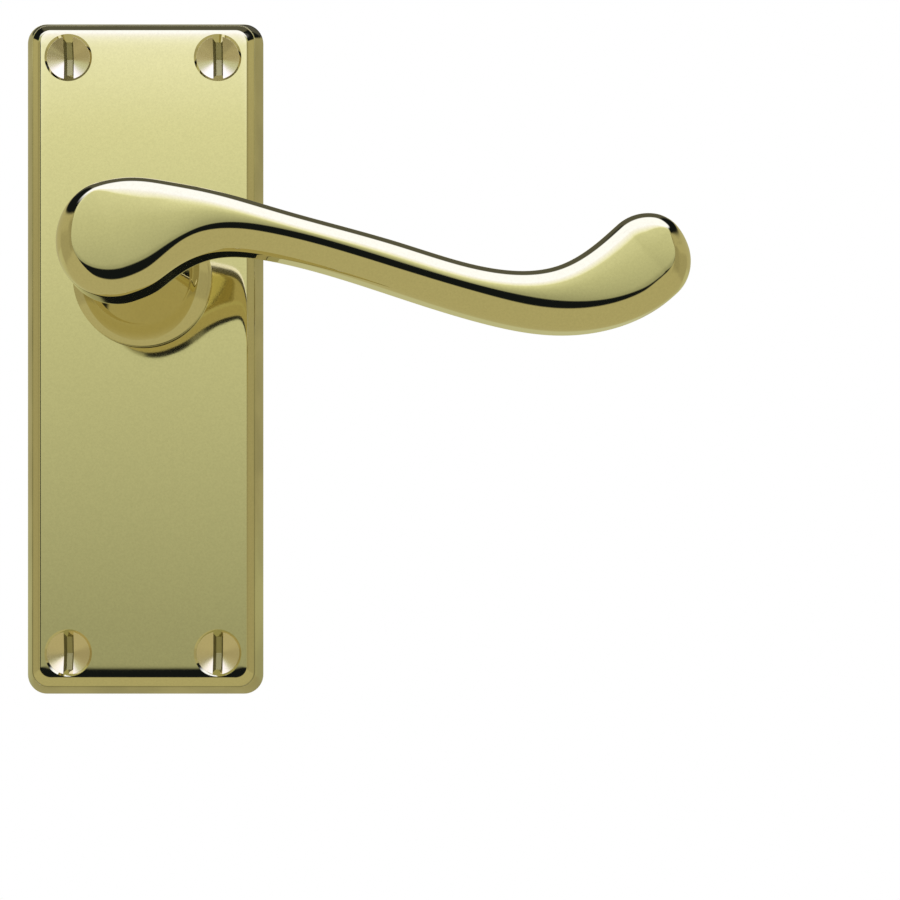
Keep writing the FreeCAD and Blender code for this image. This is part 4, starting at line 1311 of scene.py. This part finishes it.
# The card straight ahead: how light it is at each height, in degrees.
CARD_RISE = (-6, -2, 7, 12.7, 14.3, 15.3, 17, 19.4, 24, 28, 33, 36)
CARD_RED = (0.37, 0.40, 0.635, 0.84, 0.97, 1.01, 1.06, 1.10, 1.15, 1.19, 1.24, 1.27)
CARD_BLUE = (0.249, 0.268, 0.434, 0.62, 0.817, 0.906, 1.034, 1.18, 1.4, 1.6, 1.8, 1.9)
CARD_GREEN = tuple(1.041 * red for red in CARD_RED)
TENT_RADIUS = 2500
# straight in front of the plate's face, a little below and to the right of its middle
CAMERA_PLACE = (0.03197, -0.400, -0.05765)
CAMERA_SHIFT = (0.1367, 0.1778)


def step(value, low, high):
    """Comes in smoothly from 0 at low to 1 at high, as one column."""
    t = np.clip((value - low) / (high - low), 0, 1)
    return (t * t * (3 - 2 * t))[:, None]


def between(value, low, high, soft=0.6):
    """1 between low and high and 0 outside, with soft edges."""
    return step(value, low - soft, low + soft) * (1 - step(value, high - soft, high + soft))


def blend(colour, other, share):
    """The colour moved towards another by a share."""
    return colour + (np.asarray(other) - colour) * np.clip(share, 0, 1)


def studio_colour(way, look):
    """What stands in each direction from the handle, as the brass mirrors it.

    A warm room, browner at both sides and dark above, with grey walls high at half left and
    half right; straight ahead a card that grows lighter upwards, on a round black screen; and
    a long softbox overhead that the card runs up into.
    """
    x, y, z = way.T
    rise = np.degrees(np.arctan2(z, -y))
    side = np.degrees(np.arctan2(x, -y))
    lift = np.degrees(np.arcsin(z))
    aside = np.abs(side)
    above = (z > 0)[:, None]
    colour = np.tile(look.room, (len(way), 1))
    colour = blend(colour, FLOOR_BEHIND, (1 - step(rise, -165, -150)) * (1 - above))
    strip = between(aside, 36, 85, 5) * between(lift, -12, 20, 4)
    colour = blend(colour, BROWN_STRIP, strip)
    strip = between(aside, 80, 118, 4) * between(lift, -15, 12, 3)
    colour = blend(colour, SIDE_STRIP, strip)
    colour = blend(colour, DARK, step(lift, 23, 26))
    colour = blend(colour, DIM, between(x, -0.45, 0.45, 0.05) * between(rise, 60, 150, 2))
    wall = between(aside, 14, 62, 3) * between(lift, 22, 42, 2)
    colour = blend(colour, GREY_WALL, wall)
    screen = 1 - step(np.hypot(side + 3.5, rise - 13.7), 32, 34)
    screen = screen * between(side, -28, 28, 0.6) * (1 - step(rise, 18, 24))
    colour = blend(colour, DARK, screen)
    level = [np.interp(rise, CARD_RISE, part) for part in (CARD_RED, CARD_GREEN, CARD_BLUE)]
    card = between(side, -24.5, 24.5, 0.6) * between(rise, -5, 60, 1.0)
    colour = blend(colour, np.column_stack(level), card)
    # the softbox, narrow and soft-edged where it starts and wider overhead
    edge = np.abs(x) / np.maximum(z, 1e-4)
    near = 1 - step(edge, 0.35, 0.8)
    far = 1 - step(edge, 0.7, 1.4)
    high = step(rise, 40, 54)
    box = (near + (far - near) * high) * step(rise, 27, 36) * (1 - step(rise, 87, 94))
    return blend(colour, look.softbox, box * above)


def build_studio_tent(look):
    """A wide shell round the handle that only mirror-like surfaces see."""
    # rings stand round the X axis, so that a band keeps its height all the way across, and
    # they are close together ahead, where the edges of the cards are sharp
    rise, side = (
        np.radians(np.concatenate([np.arange(*stretch) for stretch in stretches]))
        for stretches in (
            ((-180, -32, 4), (-32, 20, 0.5), (20, 180, 2.5)),
            ((-89, -30, 2.0), (-30, 30, 0.5), (30, 89.1, 2.0)),
        )
    )
    rings = []
    for s in side:
        x, r = math.sin(s), math.cos(s)
        rings.append(np.column_stack((np.full(len(rise), x), r * np.cos(rise), r * np.sin(rise))))
    points, faces = skin_rings(rings, start=(-1, 0, 0), end=(1, 0, 0))
    way = np.column_stack((points[:, 0], -points[:, 1], points[:, 2]))
    mesh = new_mesh("studio_tent", points * TENT_RADIUS, faces)
    paint = mesh.color_attributes.new("cards", "FLOAT_COLOR", "POINT")
    colours = np.column_stack((studio_colour(way, look), np.ones(len(way))))
    paint.data.foreach_set("color", colours.astype(np.float32).ravel())
    mesh.polygons.foreach_set("use_smooth", [True] * len(mesh.polygons))
    tent = new_object("studio_tent", mesh)
    material, tree = blank_material("studio_cards")
    cards = add_node(tree, "ShaderNodeVertexColor", layer_name="cards")
    glow = add_node(tree, "ShaderNodeEmission", {"Color": cards.outputs["Color"]})
    add_node(tree, "ShaderNodeOutputMaterial", {"Surface": glow.outputs[0]})
    mesh.materials.append(material)
    tent.visible_camera = False
    tent.visible_diffuse = False
    tent.visible_shadow = False
    tent.visible_transmission = False
    tent.visible_volume_scatter = False
    return tent


def build_floor(look):
    """A pale matt sweep under the handle, kept short so that it ends out of the picture."""
    drop = millimetres(CAD_LOW.z) - 160
    near, far, wide = 1000, -900, 1300
    points = [(-wide, near, drop), (wide, near, drop), (wide, far, drop), (-wide, far, drop)]
    floor = new_object("studio_floor", new_mesh("studio_floor", points, [(0, 1, 2, 3)]))
    material, tree = blank_material("matt_paper_floor")
    fibre = grain(tree, 1.5, detail=3)
    tone = add_node(
        tree,
        "ShaderNodeMix",
        {SHARE: fibre, FIRST: rgba(shade(look.floor, 0.985)), SECOND: rgba(look.floor)},
        data_type="RGBA",
    )
    shader = add_node(
        tree, "ShaderNodeBsdfPrincipled", {"Base Color": tone.outputs[2], "Roughness": 0.9}
    )
    add_node(tree, "ShaderNodeOutputMaterial", {"Surface": shader.outputs[0]})
    dress(floor, material)
    floor.visible_glossy = False
    return floor


def build_world():
    """White to the camera and to mirrors, and a soft grey fill for all else."""
    world = bpy.data.worlds.new("studio_world")
    world.use_nodes = True
    tree = world.node_tree
    tree.nodes.clear()
    path = add_node(tree, "ShaderNodeLightPath")
    seen = add_node(
        tree,
        "ShaderNodeMath",
        {0: path.outputs["Is Camera Ray"], 1: path.outputs["Is Glossy Ray"]},
        operation="MAXIMUM",
    )
    seen = add_node(
        tree,
        "ShaderNodeMath",
        {0: seen.outputs[0], 1: path.outputs["Is Transmission Ray"]},
        operation="MAXIMUM",
    )
    fill = add_node(
        tree, "ShaderNodeBackground", {"Color": (0.97, 0.98, 1.0, 1), "Strength": 0.62}
    )
    white = add_node(tree, "ShaderNodeBackground", {"Color": (1, 1, 1, 1), "Strength": 1.0})
    both = add_node(
        tree, "ShaderNodeMixShader", {0: seen.outputs[0], 1: fill.outputs[0], 2: white.outputs[0]}
    )
    add_node(tree, "ShaderNodeOutputWorld", {0: both.outputs[0]})
    bpy.context.scene.world = world


def build_lamps():
    """Two soft panels that give the matt parts and the floor their shading."""
    for name, spot, turn, size, power in (
        ("panel_overhead", (0.1, -0.35, 1.1), (0.25, 0.1, 0), 0.9, 9.0),
        ("panel_front", (-0.9, -1.2, 0.3), (1.3, 0, -0.64), 0.8, 5.0),
    ):
        lamp = bpy.data.lights.new(name, "AREA")
        lamp.shape = "SQUARE"
        lamp.size = size
        lamp.energy = power
        thing = bpy.data.objects.new(name, lamp)
        thing.location = spot
        thing.rotation_euler = Euler(turn)
        thing.visible_glossy = False
        bpy.context.scene.collection.objects.link(thing)


def build_camera(look):
    """A camera level with the door, whose lens is shifted to frame the handle."""
    lens = bpy.data.cameras.new("camera")
    lens.sensor_width = 36.0
    lens.lens = look.focal
    lens.shift_x, lens.shift_y = CAMERA_SHIFT
    camera = bpy.data.objects.new("camera", lens)
    camera.location = CAMERA_PLACE
    camera.rotation_euler = (math.pi / 2, 0, 0)
    bpy.context.scene.collection.objects.link(camera)
    bpy.context.scene.camera = camera


# --- operators ----------------------------------------------------------------------------


class HANDLE_OT_plate(bpy.types.Operator):
    """Builds the backplate with its rolled edge and gives it to the plate's body"""

    bl_idname = "handle.plate"
    bl_label = "Backplate"

    def execute(self, context):
        scene = context.scene
        plate = build_plate(scene.handle_plate, scene.handle_finish)
        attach(plate, "plate")
        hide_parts("backplate")
        return {"FINISHED"}


class HANDLE_OT_lever(bpy.types.Operator):
    """Builds the scroll lever with its neck and tail and gives it to the handle's body"""

    bl_idname = "handle.lever"
    bl_label = "Lever"

    def execute(self, context):
        scene = context.scene
        lever = build_lever(scene.handle_lever, scene.handle_finish)
        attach(lever, "handle")
        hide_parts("lever")
        return {"FINISHED"}


class HANDLE_OT_wood_screws(bpy.types.Operator):
    """Makes one wood screw and its thread and puts four of them in the plate"""

    bl_idname = "handle.wood_screws"
    bl_label = "Wood Screws"

    def execute(self, context):
        scene = context.scene
        look = scene.handle_screws
        finish = turned_brass(
            "turned_brass_screws", scene.handle_finish.screw_brass, scene.handle_finish.slot_brass
        )
        screw = wood_screw(look)
        ridge = path_object("thread", thread_path(look))
        run_tree(ridge, wire_tree(), {"Radius": 0.42 * MM, "Sides": 6, "Finish": finish})
        joined = bmesh.new()
        joined.from_mesh(screw.data)
        joined.from_mesh(ridge.data)
        joined.to_mesh(screw.data)
        joined.free()
        bpy.data.objects.remove(ridge)
        points = [(x, 0.0, z) for x, z in screw_places(scene.handle_plate)]
        screws = new_object("wood_screws_visual", new_mesh("wood_screws_visual", points, []))
        run_tree(
            screws,
            scatter_tree(),
            {"Piece": screw, "Stray": look.stray, "Seed": 4, "Finish": finish},
        )
        bpy.data.objects.remove(screw)
        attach(screws, "plate")
        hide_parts("wood_screws")
        return {"FINISHED"}


class HANDLE_OT_return_spring(bpy.types.Operator):
    """Bends the return spring's wire round the bush"""

    bl_idname = "handle.return_spring"
    bl_label = "Return Spring"

    def execute(self, context):
        look = context.scene.handle_spring
        finish = worked_steel(
            "oil_tempered_spring_wire", linear("#8E8C8A"), linear("#4E4A47"), 0.2, 0.36, mark_mm=0.3
        )
        spring = path_object("return_spring_visual", spring_path(look))
        run_tree(
            spring, wire_tree(), {"Radius": look.wire / 2, "Sides": look.around, "Finish": finish}
        )
        tidy_shell(spring.data, sharp=40)
        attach(spring, "plate")
        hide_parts("return_spring")
        return {"FINISHED"}


class HANDLE_OT_running_parts(bpy.types.Operator):
    """Gives the bush, cam, washer, clip, cover, screws and spindle their finishes"""

    bl_idname = "handle.running_parts"
    bl_label = "Running Parts"

    def execute(self, context):
        finish = context.scene.handle_finish
        zinc = worked_steel(
            "zinc_plated_sheet", linear("#C9CCD0"), linear("#A9AEB6"), 0.22, 0.38, (1, 1, 0.2)
        )
        bright = worked_steel(
            "bright_drawn_steel", linear("#C4C2BE"), linear("#9D9A96"), 0.16, 0.3, (1, 0.05, 1)
        )
        black = worked_steel(
            "blackened_spring_steel", linear("#3A3836"), linear("#262422"), 0.28, 0.45
        )
        nylon = moulded_nylon("moulded_nylon", finish.nylon)
        for name, material in (
            ("neck_bush", nylon),
            ("drive_cam", zinc),
            ("spring_cover", zinc),
            ("thrust_washer", bright),
            ("cover_screws", bright),
            ("spindle", bright),
            ("circlip", black),
        ):
            dress(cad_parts[name], material)
        return {"FINISHED"}


class HANDLE_OT_stage(bpy.types.Operator):
    """Sets up the floor, the reflected studio, the lamps, the world and the camera"""

    bl_idname = "handle.stage"
    bl_label = "Stage"

    def execute(self, context):
        look = context.scene.handle_studio
        build_floor(look)
        build_studio_tent(look)
        build_world()
        build_lamps()
        build_camera(look)
        context.scene.view_settings.view_transform = "Standard"
        return {"FINISHED"}


class HANDLE_PT_sidebar(bpy.types.Panel):
    """Lists the pieces of the handle"""

    bl_label = "Lever Handle"
    bl_idname = "HANDLE_PT_sidebar"
    bl_space_type = "VIEW_3D"
    bl_region_type = "UI"
    bl_category = "Lever Handle"

    def draw(self, context):
        for operator in OPERATORS:
            self.layout.operator(operator.bl_idname)
        for name, group in LOOKS.items():
            box = self.layout.box()
            for field in group.__annotations__:
                box.prop(getattr(context.scene, name), field)


OPERATORS = (
    HANDLE_OT_plate,
    HANDLE_OT_lever,
    HANDLE_OT_wood_screws,
    HANDLE_OT_return_spring,
    HANDLE_OT_running_parts,
    HANDLE_OT_stage,
)


def register():
    """Adds the looks to the scene, then the operators and the panel."""
    for group in LOOKS.values():
        bpy.utils.register_class(group)
    for name, group in LOOKS.items():
        setattr(bpy.types.Scene, name, PointerProperty(type=group))
    for part in (*OPERATORS, HANDLE_PT_sidebar):
        bpy.utils.register_class(part)


def unregister():
    """Takes all of it away again, in the other order."""
    for part in (HANDLE_PT_sidebar, *reversed(OPERATORS)):
        bpy.utils.unregister_class(part)
    for name, group in LOOKS.items():
        delattr(bpy.types.Scene, name)
        bpy.utils.unregister_class(group)


def main():
    """Builds every piece and the stage."""
    register()
    bpy.ops.handle.plate()
    bpy.ops.handle.lever()
    bpy.ops.handle.wood_screws()
    bpy.ops.handle.return_spring()
    bpy.ops.handle.running_parts()
    bpy.ops.handle.stage()


if __name__ == "__main__":
    main()
